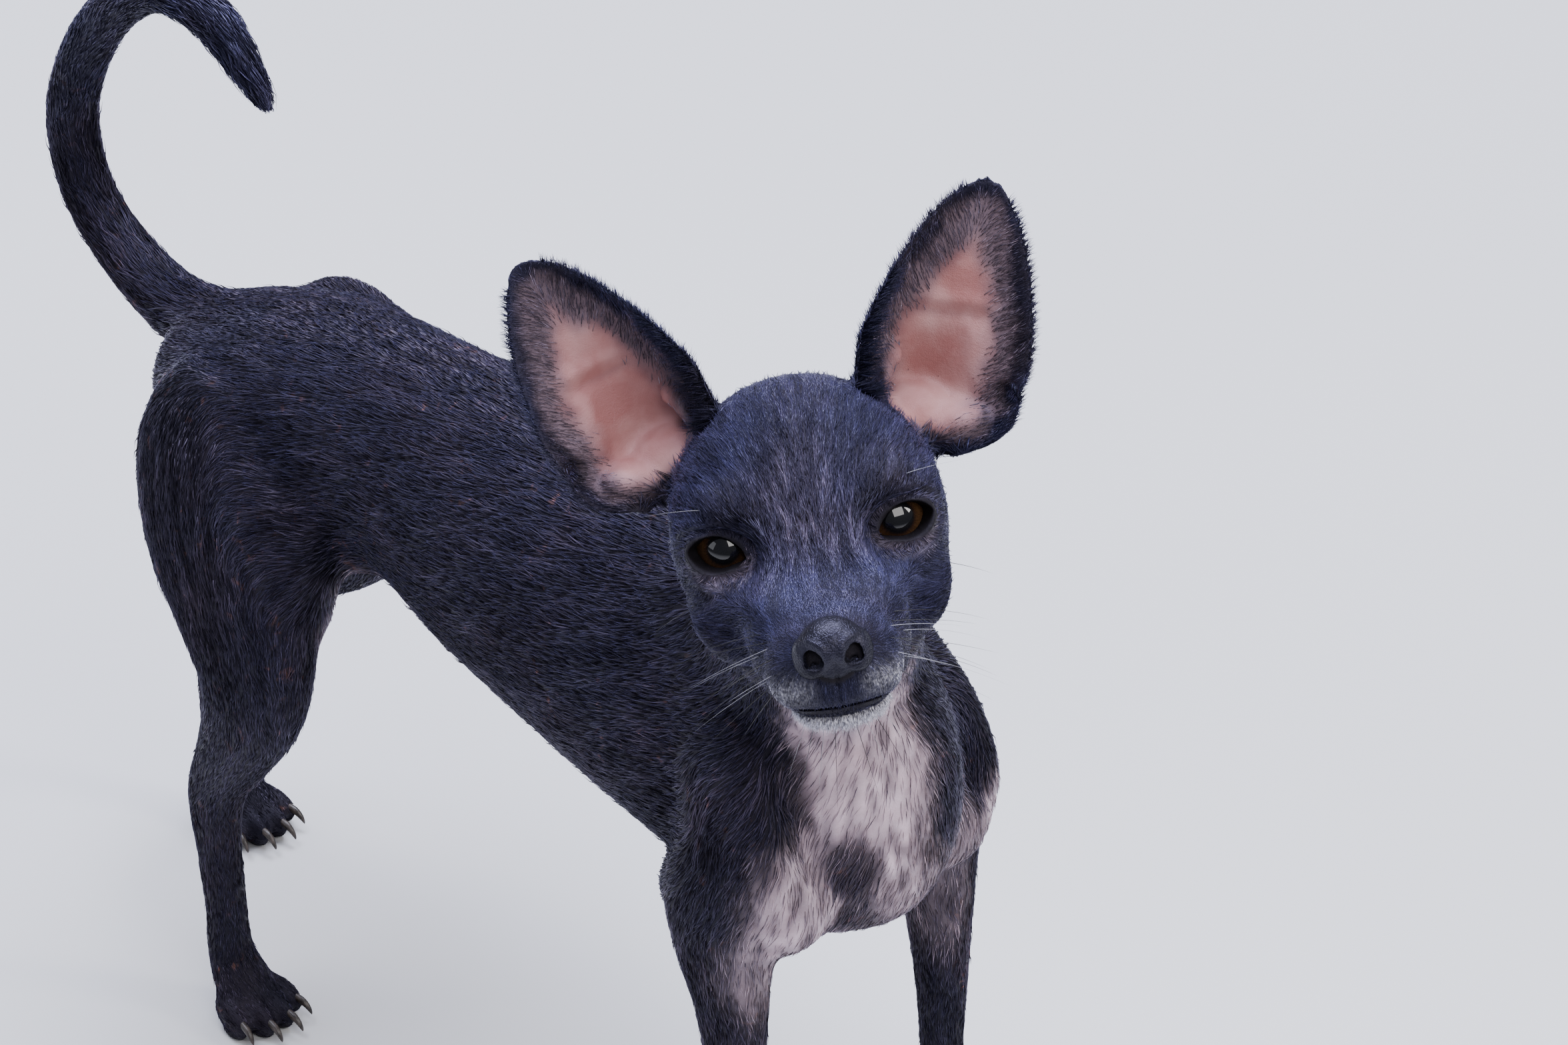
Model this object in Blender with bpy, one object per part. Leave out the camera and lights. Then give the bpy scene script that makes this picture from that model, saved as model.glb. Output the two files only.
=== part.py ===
"""A short-coated chihuahua, life size, standing on four paws with one hind leg set back.

The dog faces -Y with +Z up, and its left is +X. Its head is raised, turned to its right and
tilted, and its tail stands in a hook over the croup. All sizes are in metres. Each region is
blocked out as rounded forms, fused, smoothed and thinned, and then parted with thin cuts.
At the end everything is moved so that the origin lies on the floor below the middle.
"""
import math

import bmesh
import bpy
from mathutils import Matrix, Vector

GAP = 0.0003            # between nodes that touch

# Body: stations from the rump to the breastbone. Each is
# (y, height of the widest level, half width, rise above it, drop below it)
BODY_STATIONS = (
    (0.1310, 0.1590, 0.0080, 0.0060, 0.0080),
    (0.1250, 0.1590, 0.0200, 0.0135, 0.0190),
    (0.1100, 0.1580, 0.0275, 0.0215, 0.0270),
    (0.0900, 0.1590, 0.0290, 0.0280, 0.0290),
    (0.0650, 0.1615, 0.0275, 0.0305, 0.0310),
    (0.0420, 0.1620, 0.0268, 0.0325, 0.0310),
    (0.0170, 0.1590, 0.0310, 0.0375, 0.0345),
    (-0.0100, 0.1570, 0.0345, 0.0400, 0.0365),
    (-0.0360, 0.1540, 0.0365, 0.0435, 0.0380),
    (-0.0600, 0.1515, 0.0365, 0.0480, 0.0410),
    (-0.0850, 0.1480, 0.0335, 0.0480, 0.0445),
    (-0.1030, 0.1450, 0.0270, 0.0380, 0.0370),
    (-0.1160, 0.1430, 0.0175, 0.0260, 0.0250),
    (-0.1215, 0.1420, 0.0070, 0.0110, 0.0110),
)

# Neck: (centre, half width, half depth) from the chest up to the skull
NECK_STATIONS = (
    ((0.0000, -0.0620, 0.1560), 0.0310, 0.0400),
    ((-0.0020, -0.0790, 0.1740), 0.0285, 0.0345),
    ((-0.0080, -0.0930, 0.1910), 0.0245, 0.0275),
    ((-0.0165, -0.1050, 0.2060), 0.0228, 0.0245),
    ((-0.0235, -0.1140, 0.2190), 0.0220, 0.0235),
    ((-0.0290, -0.1200, 0.2290), 0.0210, 0.0220),
)

# Head frame: the point midway between the eyes, and the head's own left, forward and up
EYE_MIDDLE = Vector((-0.0450, -0.1316, 0.2469))
HEAD_LEFT = Vector((0.7856, -0.6007, 0.1485)).normalized()
HEAD_FORWARD = Vector((-0.6043, -0.6931, 0.3930)).normalized()
HEAD_UP = HEAD_LEFT.cross(HEAD_FORWARD).normalized() * -1.0

# Skull and muzzle: (forward, widest level, half width, rise, drop), in the head frame
SKULL_STATIONS = (
    (-0.0540, 0.0030, 0.0040, 0.0030, 0.0040),
    (-0.0510, 0.0030, 0.0130, 0.0110, 0.0130),
    (-0.0450, 0.0020, 0.0210, 0.0200, 0.0200),
    (-0.0350, 0.0010, 0.0270, 0.0270, 0.0240),
    (-0.0220, 0.0000, 0.0298, 0.0312, 0.0250),
    (-0.0100, -0.0020, 0.0300, 0.0318, 0.0250),
    (-0.0010, -0.0040, 0.0285, 0.0275, 0.0260),
    (0.0060, -0.0060, 0.0250, 0.0210, 0.0250),
    (0.0120, -0.0095, 0.0205, 0.0135, 0.0230),
    (0.0170, -0.0125, 0.0175, 0.0095, 0.0195),
    (0.0230, -0.0150, 0.0152, 0.0080, 0.0165),
    (0.0320, -0.0180, 0.0138, 0.0095, 0.0130),
    (0.0400, -0.0200, 0.0128, 0.0105, 0.0105),
    (0.0440, -0.0208, 0.0105, 0.0095, 0.0080),
    (0.0465, -0.0210, 0.0065, 0.0060, 0.0050),
)

# Rounded forms of the head, one side: (name, (left, forward, up), radii in the same order)
HEAD_SIDE_FORMS = (
    ("temple", (0.0175, -0.0260, 0.0065), (0.0105, 0.0190, 0.0155)),
    ("brow", (0.0140, 0.0015, 0.0095), (0.0100, 0.0070, 0.0050)),
    ("cheekbone", (0.0185, -0.0030, -0.0110), (0.0102, 0.0170, 0.0090)),
    ("jaw angle", (0.0135, -0.0150, -0.0190), (0.0092, 0.0170, 0.0105)),
    ("upper jaw", (0.0100, 0.0200, -0.0165), (0.0078, 0.0150, 0.0090)),
    ("whisker pad", (0.0076, 0.0360, -0.0208), (0.0074, 0.0095, 0.0076)),
)
# Hollow of an orbit, pressed into the face before the lids go on
ORBIT = ((0.0205, 0.0115, 0.0000), (0.0105, 0.0090, 0.0072))

# Lower jaw: (forward, level, half width, half height)
LOWER_JAW = (
    (-0.0150, -0.0250, 0.0160, 0.0065),
    (0.0050, -0.0275, 0.0132, 0.0060),
    (0.0220, -0.0292, 0.0112, 0.0052),
    (0.0330, -0.0302, 0.0106, 0.0044),
    (0.0385, -0.0304, 0.0088, 0.0038),
    (0.0415, -0.0302, 0.0048, 0.0024),
)

# Eyes
EYE_RADIUS = 0.0076
EYE_SIDE = 0.0172       # centre of the eyeball from the middle of the face
EYE_BACK = -0.0048      # centre of the eyeball, forward of the line between the openings
EYE_OUTWARD = math.radians(20.0)
EYE_OPENING = (0.0051, 0.0029)      # half length and half height of the opening
EYE_OPENING_TILT = math.radians(9.0)
LID_RADII = (0.0096, 0.0082, 0.0090)
OPENING_SIDES = 18

# Nose leather: (centre, radii) in the head frame
NOSE_FORMS = (
    ((0.0000, 0.0432, -0.0155), (0.0066, 0.0060, 0.0058)),
    ((0.0040, 0.0428, -0.0172), (0.0040, 0.0050, 0.0050)),
    ((-0.0040, 0.0428, -0.0172), (0.0040, 0.0050, 0.0050)),
    ((0.0000, 0.0442, -0.0195), (0.0038, 0.0038, 0.0044)),
)
NOSTRIL = (0.0039, 0.0478, -0.0170)
NOSTRIL_RADII = (0.0019, 0.0030, 0.0016)

# Line of the mouth, one side, from the middle: (left, forward, up)
MOUTH_LINE = (
    (0.0000, 0.0420, -0.0278),
    (0.0050, 0.0408, -0.0282),
    (0.0090, 0.0370, -0.0288),
    (0.0120, 0.0300, -0.0288),
    (0.0145, 0.0200, -0.0270),
    (0.0160, 0.0130, -0.0252),
)
MOUTH_CENTRE = 0.0200   # forward of the eyes, the point that the lips curve round
MOUTH_DEPTH = 0.0022
MOUTH_REACH = 0.0080
MOUTH_OPEN = 0.0011

# Ear blade, in its own frame: along it from root to tip, its inner and outer edges across it,
# how far its middle lies behind its rim, and how far forward the rim is in the head frame
EAR_ROOT = (0.0260, 0.0185)     # left and up of the root's middle in the head frame
EAR_LEAN = math.radians(30.0)   # outward from the head's up
EAR_STATIONS = (
    (-0.0070, -0.0110, 0.0110, 0.0120, -0.0185),
    (0.0000, -0.0136, 0.0185, 0.0150, -0.0160),
    (0.0060, -0.0152, 0.0206, 0.0160, -0.0150),
    (0.0120, -0.0166, 0.0198, 0.0150, -0.0148),
    (0.0200, -0.0160, 0.0192, 0.0125, -0.0160),
    (0.0300, -0.0141, 0.0160, 0.0090, -0.0190),
    (0.0390, -0.0112, 0.0117, 0.0060, -0.0220),
    (0.0450, -0.0080, 0.0076, 0.0040, -0.0245),
    (0.0490, -0.0047, 0.0040, 0.0022, -0.0262),
    (0.0512, -0.0012, 0.0014, 0.0008, -0.0272),
)
EAR_CUP_INWARD = 0.22   # how far the deepest line of the cup lies toward the inner edge
EAR_THICKNESS = 0.0019
EAR_COLUMNS = 22
# Root bulge and knobs at the mouth of the ear: (along, across, behind the rim, rim), radii
EAR_KNOBS = (
    ("root", (-0.0040, 0.0000, 0.0140, -0.0160), (0.0120, 0.0090, 0.0090)),
    ("lobe", (-0.0010, 0.0105, 0.0090, -0.0160), (0.0080, 0.0070, 0.0055)),
    ("tragus", (0.0035, -0.0020, 0.0068, -0.0150), (0.0022, 0.0034, 0.0042)),
    ("antitragus", (0.0015, 0.0115, 0.0060, -0.0150), (0.0052, 0.0034, 0.0026)),
)
EAR_CUT = (0.0245, -0.0220, 0.0226)
EAR_CUT_TURN = math.radians(42.0)
EAR_CUT_HALF = (0.0240, 0.0270)

# Legs: (x, y, z) of the left leg's joints, with the half width and half depth there
FORELEG = (
    ((0.0240, -0.0700, 0.1760), 0.0070, 0.0110),
    ((0.0280, -0.0850, 0.1560), 0.0090, 0.0170),
    ((0.0305, -0.0930, 0.1390), 0.0105, 0.0180),
    ((0.0320, -0.0900, 0.1240), 0.0120, 0.0170),
    ((0.0320, -0.0900, 0.1110), 0.0108, 0.0138),
    ((0.0320, -0.0925, 0.0950), 0.0084, 0.0102),
    ((0.0320, -0.0940, 0.0700), 0.0066, 0.0072),
    ((0.0320, -0.0945, 0.0450), 0.0056, 0.0059),
    ((0.0320, -0.0955, 0.0310), 0.0066, 0.0064),
    ((0.0320, -0.0965, 0.0220), 0.0066, 0.0060),
    ((0.0320, -0.0980, 0.0140), 0.0070, 0.0060),
)
# Points of the elbow and hock: (centre, radii, lean forward in degrees)
ELBOW = ((0.0320, -0.0755, 0.1210), (0.0060, 0.0062, 0.0095), -12.0)
HIND_LEG_RIGHT = (
    ((0.0180, 0.0920, 0.1720), 0.0110, 0.0160),
    ((0.0250, 0.0920, 0.1560), 0.0150, 0.0270),
    ((0.0290, 0.0850, 0.1360), 0.0150, 0.0300),
    ((0.0320, 0.0760, 0.1170), 0.0132, 0.0240),
    ((0.0335, 0.0730, 0.1000), 0.0110, 0.0175),
    ((0.0335, 0.0790, 0.0840), 0.0088, 0.0127),
    ((0.0332, 0.0875, 0.0680), 0.0068, 0.0095),
    ((0.0330, 0.0905, 0.0570), 0.0064, 0.0086),
    ((0.0330, 0.0895, 0.0430), 0.0057, 0.0069),
    ((0.0330, 0.0880, 0.0280), 0.0056, 0.0058),
    ((0.0330, 0.0870, 0.0160), 0.0064, 0.0060),
)
HIND_LEG_LEFT = (
    ((0.0180, 0.0940, 0.1720), 0.0110, 0.0160),
    ((0.0245, 0.0980, 0.1560), 0.0150, 0.0270),
    ((0.0275, 0.0990, 0.1370), 0.0148, 0.0290),
    ((0.0280, 0.1020, 0.1180), 0.0130, 0.0235),
    ((0.0260, 0.1100, 0.1020), 0.0108, 0.0172),
    ((0.0235, 0.1240, 0.0880), 0.0088, 0.0127),
    ((0.0205, 0.1405, 0.0740), 0.0068, 0.0095),
    ((0.0185, 0.1500, 0.0610), 0.0064, 0.0086),
    ((0.0180, 0.1522, 0.0450), 0.0057, 0.0069),
    ((0.0175, 0.1515, 0.0290), 0.0056, 0.0058),
    ((0.0175, 0.1500, 0.0160), 0.0064, 0.0060),
)
HOCK_RIGHT = ((0.0330, 0.0945, 0.0655), (0.0040, 0.0044, 0.0125), 18.0)
HOCK_LEFT = ((0.0187, 0.1540, 0.0690), (0.0040, 0.0044, 0.0125), 34.0)

# Muscles and bony points of the body, one side: (name, centre, radii, turn about X in degrees,
# shift along Y on the left, where that hind leg is set back)
BODY_SIDE_FORMS = (
    ("shoulder blade", (0.0205, -0.0700, 0.1650), (0.0105, 0.0180, 0.0310), -22.0, 0.0),
    ("shoulder point", (0.0240, -0.1010, 0.1280), (0.0125, 0.0120, 0.0160), 0.0, 0.0),
    ("upper arm", (0.0285, -0.0900, 0.1320), (0.0110, 0.0190, 0.0140), 35.0, 0.0),
    ("breast", (0.0105, -0.1030, 0.1320), (0.0120, 0.0110, 0.0200), 0.0, 0.0),
    ("haunch", (0.0150, 0.0800, 0.1670), (0.0130, 0.0230, 0.0160), 12.0, 0.0),
    ("buttock", (0.0175, 0.1080, 0.1450), (0.0140, 0.0170, 0.0230), 15.0, 0.0030),
    ("thigh front", (0.0270, 0.0660, 0.1290), (0.0110, 0.0130, 0.0250), 20.0, 0.0200),
    ("flank fold", (0.0180, 0.0500, 0.1470), (0.0060, 0.0200, 0.0090), -35.0, 0.0060),
)

# Tail: points of its middle line and its half thickness there
TAIL = (
    ((0.0, 0.1120, 0.1660), 0.0112),
    ((0.0, 0.1260, 0.1640), 0.0100),
    ((0.0, 0.1400, 0.1640), 0.0088),
    ((0.0, 0.1574, 0.1705), 0.0078),
    ((0.0, 0.1710, 0.1820), 0.0074),
    ((0.0, 0.1756, 0.1999), 0.0073),
    ((0.0, 0.1695, 0.2194), 0.0072),
    ((0.0, 0.1562, 0.2380), 0.0069),
    ((0.0, 0.1390, 0.2505), 0.0066),
    ((0.0, 0.1205, 0.2505), 0.0062),
    ((0.0, 0.1085, 0.2425), 0.0050),
    ((0.0, 0.0990, 0.2330), 0.0026),
)
TAIL_CUTS = (2, 5, 8)   # stations where the tail is parted

# Paws: place on the floor, size, and the leg's middle and half sizes where the paw begins
WRIST_LEVEL = 0.0220
PAWS = (
    ("forepaw_right", (-0.0320, -0.1030), 1.00, FORELEG, -1.0),
    ("forepaw_left", (0.0320, -0.1030), 1.00, FORELEG, 1.0),
    ("hindpaw_right", (-0.0330, 0.0820), 0.96, HIND_LEG_RIGHT, -1.0),
    ("hindpaw_left", (0.0175, 0.1450), 0.96, HIND_LEG_LEFT, 1.0),
)
TOES = ((-0.0080, 0.0040), (-0.0028, 0.0078), (0.0028, 0.0078), (0.0080, 0.0040))
TOE_RADII = (0.0034, 0.0080, 0.0047)
TOE_LEVEL = 0.0050
TOE_SPLAY = math.radians(9.0)
TOE_DIP = math.radians(12.0)
TOE_PAD = (0.0024, 0.0036, 0.0024)
HEEL_PAD = (0.0060, 0.0046, 0.0026)
PALM = ((0.0, -0.0006, 0.0075), (0.0088, 0.0078, 0.0058))
# Back of the foot: (height, distance behind the paw's place, half width, half depth)
PAW_ARCH = (
    (0.0060, -0.0050, 0.0074, 0.0045),
    (0.0090, 0.0000, 0.0084, 0.0064),
)
# Claw: (reach ahead of the toe's middle, height above the floor, half thickness)
CLAW_STATIONS = (
    (0.0056, 0.0052, 0.0011),
    (0.0082, 0.0048, 0.0011),
    (0.0100, 0.0038, 0.0009),
    (0.0113, 0.0022, 0.0004),
)
CLAW_SIDES = 6

# Fineness of the fused forms, how far they are softened, and the triangles kept
BODY_VOXEL = 0.0014
BODY_SOFTENING = 20
HEAD_SOFT_VOXEL = 0.0011
HEAD_SOFTENING = 12
HEAD_VOXEL = 0.0007
PAW_VOXEL = 0.0006
NOSE_VOXEL = 0.0005
BODY_TRIANGLES = 4000
HEAD_TRIANGLES = 4500
PAW_TRIANGLES = 330
NOSE_TRIANGLES = 220
SCRAP = 2e-9            # cubic metres: a piece smaller than this is no node

# Thin cuts of the body: (centre, normal, half sizes), the first half size along Y
NECK_FOOT_CUT = ((0.0, -0.0850, 0.1755), (0.0, -0.62, 0.785), (0.056, 0.048))
NECK_TOP = 3            # neck station where the head begins
FORELEG_CUT = ((0.0330, -0.0900, 0.1215), (-0.68, 0.0, 0.73), (0.036, 0.0250))
HIND_LEG_CUT = ((0.0270, 0.0850, 0.1430), (-0.66, 0.0, 0.75), (0.060, 0.0340))

COAT_COLOUR = (0.012, 0.011, 0.014, 1.0)
EAR_COLOUR = (0.20, 0.10, 0.085, 1.0)
NOSE_COLOUR = (0.010, 0.010, 0.013, 1.0)
EYE_COLOUR = (0.030, 0.012, 0.005, 1.0)
CLAW_COLOUR = (0.020, 0.017, 0.016, 1.0)

ACROSS = Vector((1.0, 0.0, 0.0))
UPWARD = Vector((0.0, 0.0, 1.0))
SIDES = ((-1.0, "right"), (1.0, "left"))


def clear_scene():
    for thing in list(bpy.data.objects):
        bpy.data.objects.remove(thing, do_unlink=True)


def material(name, colour, roughness):
    made = bpy.data.materials.new(name)
    made.use_nodes = True
    shader = made.node_tree.nodes["Principled BSDF"]
    shader.inputs["Base Color"].default_value = colour
    shader.inputs["Roughness"].default_value = roughness
    shader.inputs["Metallic"].default_value = 0.0
    return made


def mesh_object(name, bm):
    bmesh.ops.recalc_face_normals(bm, faces=bm.faces)
    mesh = bpy.data.meshes.new(name)
    bm.to_mesh(mesh)
    bm.free()
    made = bpy.data.objects.new(name, mesh)
    bpy.context.scene.collection.objects.link(made)
    return made


def curve_through(stations, steps):
    """Rows of numbers read from a smooth curve through the given rows."""
    rows = []
    last = len(stations) - 1
    for i in range(last):
        before = stations[max(i - 1, 0)]
        start = stations[i]
        end = stations[i + 1]
        after = stations[min(i + 2, last)]
        for k in range(steps):
            t = k / steps
            row = []
            for p0, p1, p2, p3 in zip(before, start, end, after):
                bend = 2 * p1 + (p2 - p0) * t
                bend += (2 * p0 - 5 * p1 + 4 * p2 - p3) * t * t
                bend += (3 * p1 - p0 - 3 * p2 + p3) * t ** 3
                row.append(bend / 2)
            rows.append(tuple(row))
    rows.append(tuple(stations[last]))
    return rows


def loft(name, rings):
    """A closed body through rings of points, with both ends capped."""
    bm = bmesh.new()
    loops = [[bm.verts.new(point) for point in ring] for ring in rings]
    count = len(loops[0])
    for one, two in zip(loops, loops[1:]):
        for i in range(count):
            j = (i + 1) % count
            bm.faces.new((one[i], one[j], two[j], two[i]))
    bm.faces.new(loops[0])
    bm.faces.new(loops[-1])
    bmesh.ops.triangulate(bm, faces=bm.faces)
    return mesh_object(name, bm)


def egg_ring(centre, across, up, half_width, rise, drop, count=32):
    """An egg-shaped section: an ellipse with its own height above and below the widest level."""
    ring = []
    for i in range(count):
        angle = 2 * math.pi * i / count
        height = math.sin(angle) * (rise if math.sin(angle) > 0 else drop)
        ring.append(centre + across * half_width * math.cos(angle) + up * height)
    return ring


def limb(name, stations, steps=3, side=1.0):
    """A limb, neck or tail with oval sections square to its own middle line."""
    flat = [(side * x, y, z, wide, deep) for (x, y, z), wide, deep in stations]
    rows = curve_through(flat, steps)
    rings = []
    for i, row in enumerate(rows):
        centre = Vector(row[:3])
        along = Vector(rows[min(i + 1, len(rows) - 1)][:3]) - Vector(rows[max(i - 1, 0)][:3])
        deep_way = along.cross(ACROSS).normalized()
        wide_way = deep_way.cross(along).normalized()
        rings.append(egg_ring(centre, wide_way, deep_way, row[3], row[4], row[4], 20))
    return loft(name, rings)


def ellipsoid(name, centre, radii, turn=None, fine=4):
    bm = bmesh.new()
    size = Matrix.Diagonal((radii[0], radii[1], radii[2], 1.0))
    place = Matrix.Translation(Vector(centre)) @ (turn or Matrix.Identity(4)) @ size
    bmesh.ops.create_icosphere(bm, subdivisions=fine, radius=1.0, matrix=place)
    return mesh_object(name, bm)


def head_point(left, forward, up):
    return EYE_MIDDLE + HEAD_LEFT * left + HEAD_FORWARD * forward + HEAD_UP * up


def axes_turn(across, along, up):
    """The turn that takes X, Y and Z to the given directions."""
    return Matrix((across, along, up)).transposed().to_4x4()


def head_ellipsoid(name, place, radii, fine=4):
    turn = axes_turn(HEAD_LEFT, HEAD_FORWARD, HEAD_UP)
    return ellipsoid(name, head_point(*place), radii, turn, fine)


def apply_modifier(thing, name):
    with bpy.context.temp_override(object=thing, active_object=thing, selected_objects=[thing]):
        bpy.ops.object.modifier_apply(modifier=name)


def boolean(thing, others, operation, solver="EXACT"):
    """One Boolean of a body with a collection of closed bodies, applied and cleared away."""
    group = bpy.data.collections.new("operands")
    for other in others:
        group.objects.link(other)
    step = thing.modifiers.new("boolean", "BOOLEAN")
    step.operation = operation
    step.operand_type = "COLLECTION"
    step.collection = group
    step.solver = solver
    apply_modifier(thing, step.name)
    for other in others:
        bpy.data.objects.remove(other, do_unlink=True)
    bpy.data.collections.remove(group)
    return thing


def soften(body, voxel, steps):
    """Even out a fused body on a fine grid, and blend its creases."""
    remesh = body.modifiers.new("remesh", "REMESH")
    remesh.mode = "VOXEL"
    remesh.voxel_size = voxel
    apply_modifier(body, remesh.name)
    smooth = body.modifiers.new("smooth", "SMOOTH")
    smooth.factor = 0.5
    smooth.iterations = steps
    apply_modifier(body, smooth.name)


def fuse(name, pieces):
    """Join closed forms into one body."""
    body = boolean(pieces[0], pieces[1:], "UNION", "MANIFOLD")
    body.name = name
    return body


def thin_out(thing, triangles):
    """Keep the given number of triangles, most of them where the form bends most."""
    have = sum(len(face.vertices) - 2 for face in thing.data.polygons)
    step = thing.modifiers.new("decimate", "DECIMATE")
    step.ratio = min(1.0, triangles / have)
    step.use_collapse_triangulate = True
    apply_modifier(thing, step.name)


def keep_side(thing, point, normal):
    """Cut by a plane, keep what lies along the normal, and close the cut."""
    bm = bmesh.new()
    bm.from_mesh(thing.data)
    everything = bm.verts[:] + bm.edges[:] + bm.faces[:]
    bmesh.ops.bisect_plane(bm, geom=everything, dist=1e-6, plane_co=point, plane_no=normal,
                           clear_inner=True)
    rim = [edge for edge in bm.edges if edge.is_boundary]
    bmesh.ops.holes_fill(bm, edges=rim, sides=0)
    bmesh.ops.triangulate(bm, faces=bm.faces)
    bmesh.ops.recalc_face_normals(bm, faces=bm.faces)
    bm.to_mesh(thing.data)
    bm.free()


def loose_parts(thing):
    """The separate closed surfaces of a body, largest first, as (volume, bmesh) pairs."""
    bm = bmesh.new()
    bm.from_mesh(thing.data)
    bm.verts.ensure_lookup_table()
    part_of = [-1] * len(bm.verts)
    count = 0
    for start in bm.verts:
        if part_of[start.index] >= 0:
            continue
        stack = [start]
        part_of[start.index] = count
        while stack:
            vert = stack.pop()
            for edge in vert.link_edges:
                other = edge.other_vert(vert)
                if part_of[other.index] < 0:
                    part_of[other.index] = count
                    stack.append(other)
        count += 1
    parts = []
    for number in range(count):
        piece = bm.copy()
        others = [v for v in piece.verts if part_of[v.index] != number]
        bmesh.ops.delete(piece, geom=others, context="VERTS")
        parts.append((abs(piece.calc_volume()), piece))
    bm.free()
    parts.sort(key=lambda pair: -pair[0])
    return parts


def keep_largest(thing):
    parts = loose_parts(thing)
    parts[0][1].to_mesh(thing.data)
    for _, piece in parts:
        piece.free()


def nearest_part(point, parts):
    def distance(pair):
        verts = pair[1].verts
        middle = sum((v.co for v in verts), Vector()) / len(verts)
        return (middle - Vector(point)).length
    return min(parts, key=distance)


def part_with(thing, slabs, seeds):
    """Cut a body with thin slabs, and name each piece by the seed point nearest its middle."""
    boolean(thing, slabs, "DIFFERENCE")
    parts = [pair for pair in loose_parts(thing) if pair[0] > SCRAP]
    made = {}
    for name, point in seeds.items():
        mesh = bpy.data.meshes.new(name)
        nearest_part(point, parts)[1].to_mesh(mesh)
        made[name] = bpy.data.objects.new(name, mesh)
        bpy.context.scene.collection.objects.link(made[name])
    bpy.data.objects.remove(thing, do_unlink=True)
    return made


def slab(centre, normal, halves, way):
    """An oval disc as thick as the gap, which parts two nodes. The way is its first half size's."""
    normal = Vector(normal).normalized()
    way = (Vector(way) - normal * normal.dot(Vector(way))).normalized()
    other = normal.cross(way)
    rings = []
    for side in (-0.5, 0.5):
        middle = Vector(centre) + normal * GAP * side
        rings.append(egg_ring(middle, way, other, halves[0], halves[1], halves[1], 28))
    return loft("cut", rings)


def body_forms():
    forms = []
    rings = []
    for y, level, wide, rise, drop in curve_through(BODY_STATIONS, 3):
        rings.append(egg_ring(Vector((0.0, y, level)), ACROSS, UPWARD, wide, rise, drop))
    forms.append(loft("trunk", rings))
    forms.append(limb("neck form", NECK_STATIONS))
    forms.append(limb("tail form", [(point, half, half) for point, half in TAIL]))
    for side, word in SIDES:
        back_leg, hock = (HIND_LEG_RIGHT, HOCK_RIGHT)
        if word == "left":
            back_leg, hock = (HIND_LEG_LEFT, HOCK_LEFT)
        forms.append(limb("foreleg form", FORELEG, side=side))
        forms.append(limb("hind leg form", back_leg, side=side))
        for (x, y, z), radii, degrees in (ELBOW, hock):
            turn = Matrix.Rotation(math.radians(degrees), 4, "X")
            forms.append(ellipsoid("joint form", (side * x, y, z), radii, turn))
        for name, (x, y, z), radii, degrees, set_back in BODY_SIDE_FORMS:
            turn = Matrix.Rotation(math.radians(degrees), 4, "X")
            y += set_back if word == "left" else 0.0
            forms.append(ellipsoid(name, (side * x, y, z), radii, turn))
    return forms


def neck_top():
    """The plane between neck and head: its point and its normal toward the head."""
    below = Vector(NECK_STATIONS[NECK_TOP - 1][0])
    above = Vector(NECK_STATIONS[NECK_TOP + 1][0])
    return Vector(NECK_STATIONS[NECK_TOP][0]), (above - below).normalized()


def ear_point(side, along, across, back, rim_forward):
    """A point of an ear from its place along and across the blade and behind the rim."""
    out = EAR_ROOT[0] + along * math.sin(EAR_LEAN) + across * math.cos(EAR_LEAN)
    up = EAR_ROOT[1] + along * math.cos(EAR_LEAN) - across * math.sin(EAR_LEAN)
    return head_point(side * out, rim_forward - back, up)


def ear_blade(side):
    """The cupped blade of an ear, as a closed shell."""
    bm = bmesh.new()
    grid = []
    for along, inner, outer, depth, rim in curve_through(EAR_STATIONS, 4):
        line = []
        for k in range(EAR_COLUMNS + 1):
            t = -1.0 + 2.0 * k / EAR_COLUMNS
            skewed = t + EAR_CUP_INWARD * (1.0 - t * t)
            back = depth * max(0.0, 1.0 - abs(skewed) ** 2.4) ** 0.8
            across = inner + (outer - inner) * (t + 1.0) / 2.0
            line.append(bm.verts.new(ear_point(side, along, across, back, rim)))
        grid.append(line)
    for one, two in zip(grid, grid[1:]):
        for k in range(EAR_COLUMNS):
            bm.faces.new((one[k], one[k + 1], two[k + 1], two[k]))
    blade = mesh_object("ear blade", bm)
    wall = blade.modifiers.new("wall", "SOLIDIFY")
    wall.thickness = EAR_THICKNESS
    wall.offset = 0.0
    apply_modifier(blade, wall.name)
    return blade


def ear_forms(side):
    """The blade with the bulge of its root and the knobs at the mouth of the ear."""
    forms = [ear_blade(side)]
    turn = axes_turn(HEAD_LEFT, HEAD_FORWARD, HEAD_UP)
    for name, place, radii in EAR_KNOBS:
        forms.append(ellipsoid(name, ear_point(side, *place), radii, turn, 3))
    return forms


def head_forms():
    forms = []
    rings = []
    for forward, level, wide, rise, drop in curve_through(SKULL_STATIONS, 3):
        rings.append(egg_ring(head_point(0.0, forward, level), HEAD_LEFT, HEAD_UP,
                              wide, rise, drop))
    forms.append(loft("skull", rings))
    rings = []
    for forward, level, wide, high in curve_through(LOWER_JAW, 3):
        rings.append(egg_ring(head_point(0.0, forward, level), HEAD_LEFT, HEAD_UP,
                              wide, high, high))
    forms.append(loft("lower jaw", rings))
    for side, _ in SIDES:
        for name, (left, forward, up), radii in HEAD_SIDE_FORMS:
            forms.append(head_ellipsoid(name, (side * left, forward, up), radii))
    forms.append(limb("neck form", NECK_STATIONS))
    return forms


def orbit_hollows():
    (left, forward, up), radii = ORBIT
    return [head_ellipsoid("orbit", (side * left, forward, up), radii) for side, _ in SIDES]


def eye_place(side):
    return head_point(side * EYE_SIDE, EYE_BACK, 0.0)


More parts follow.
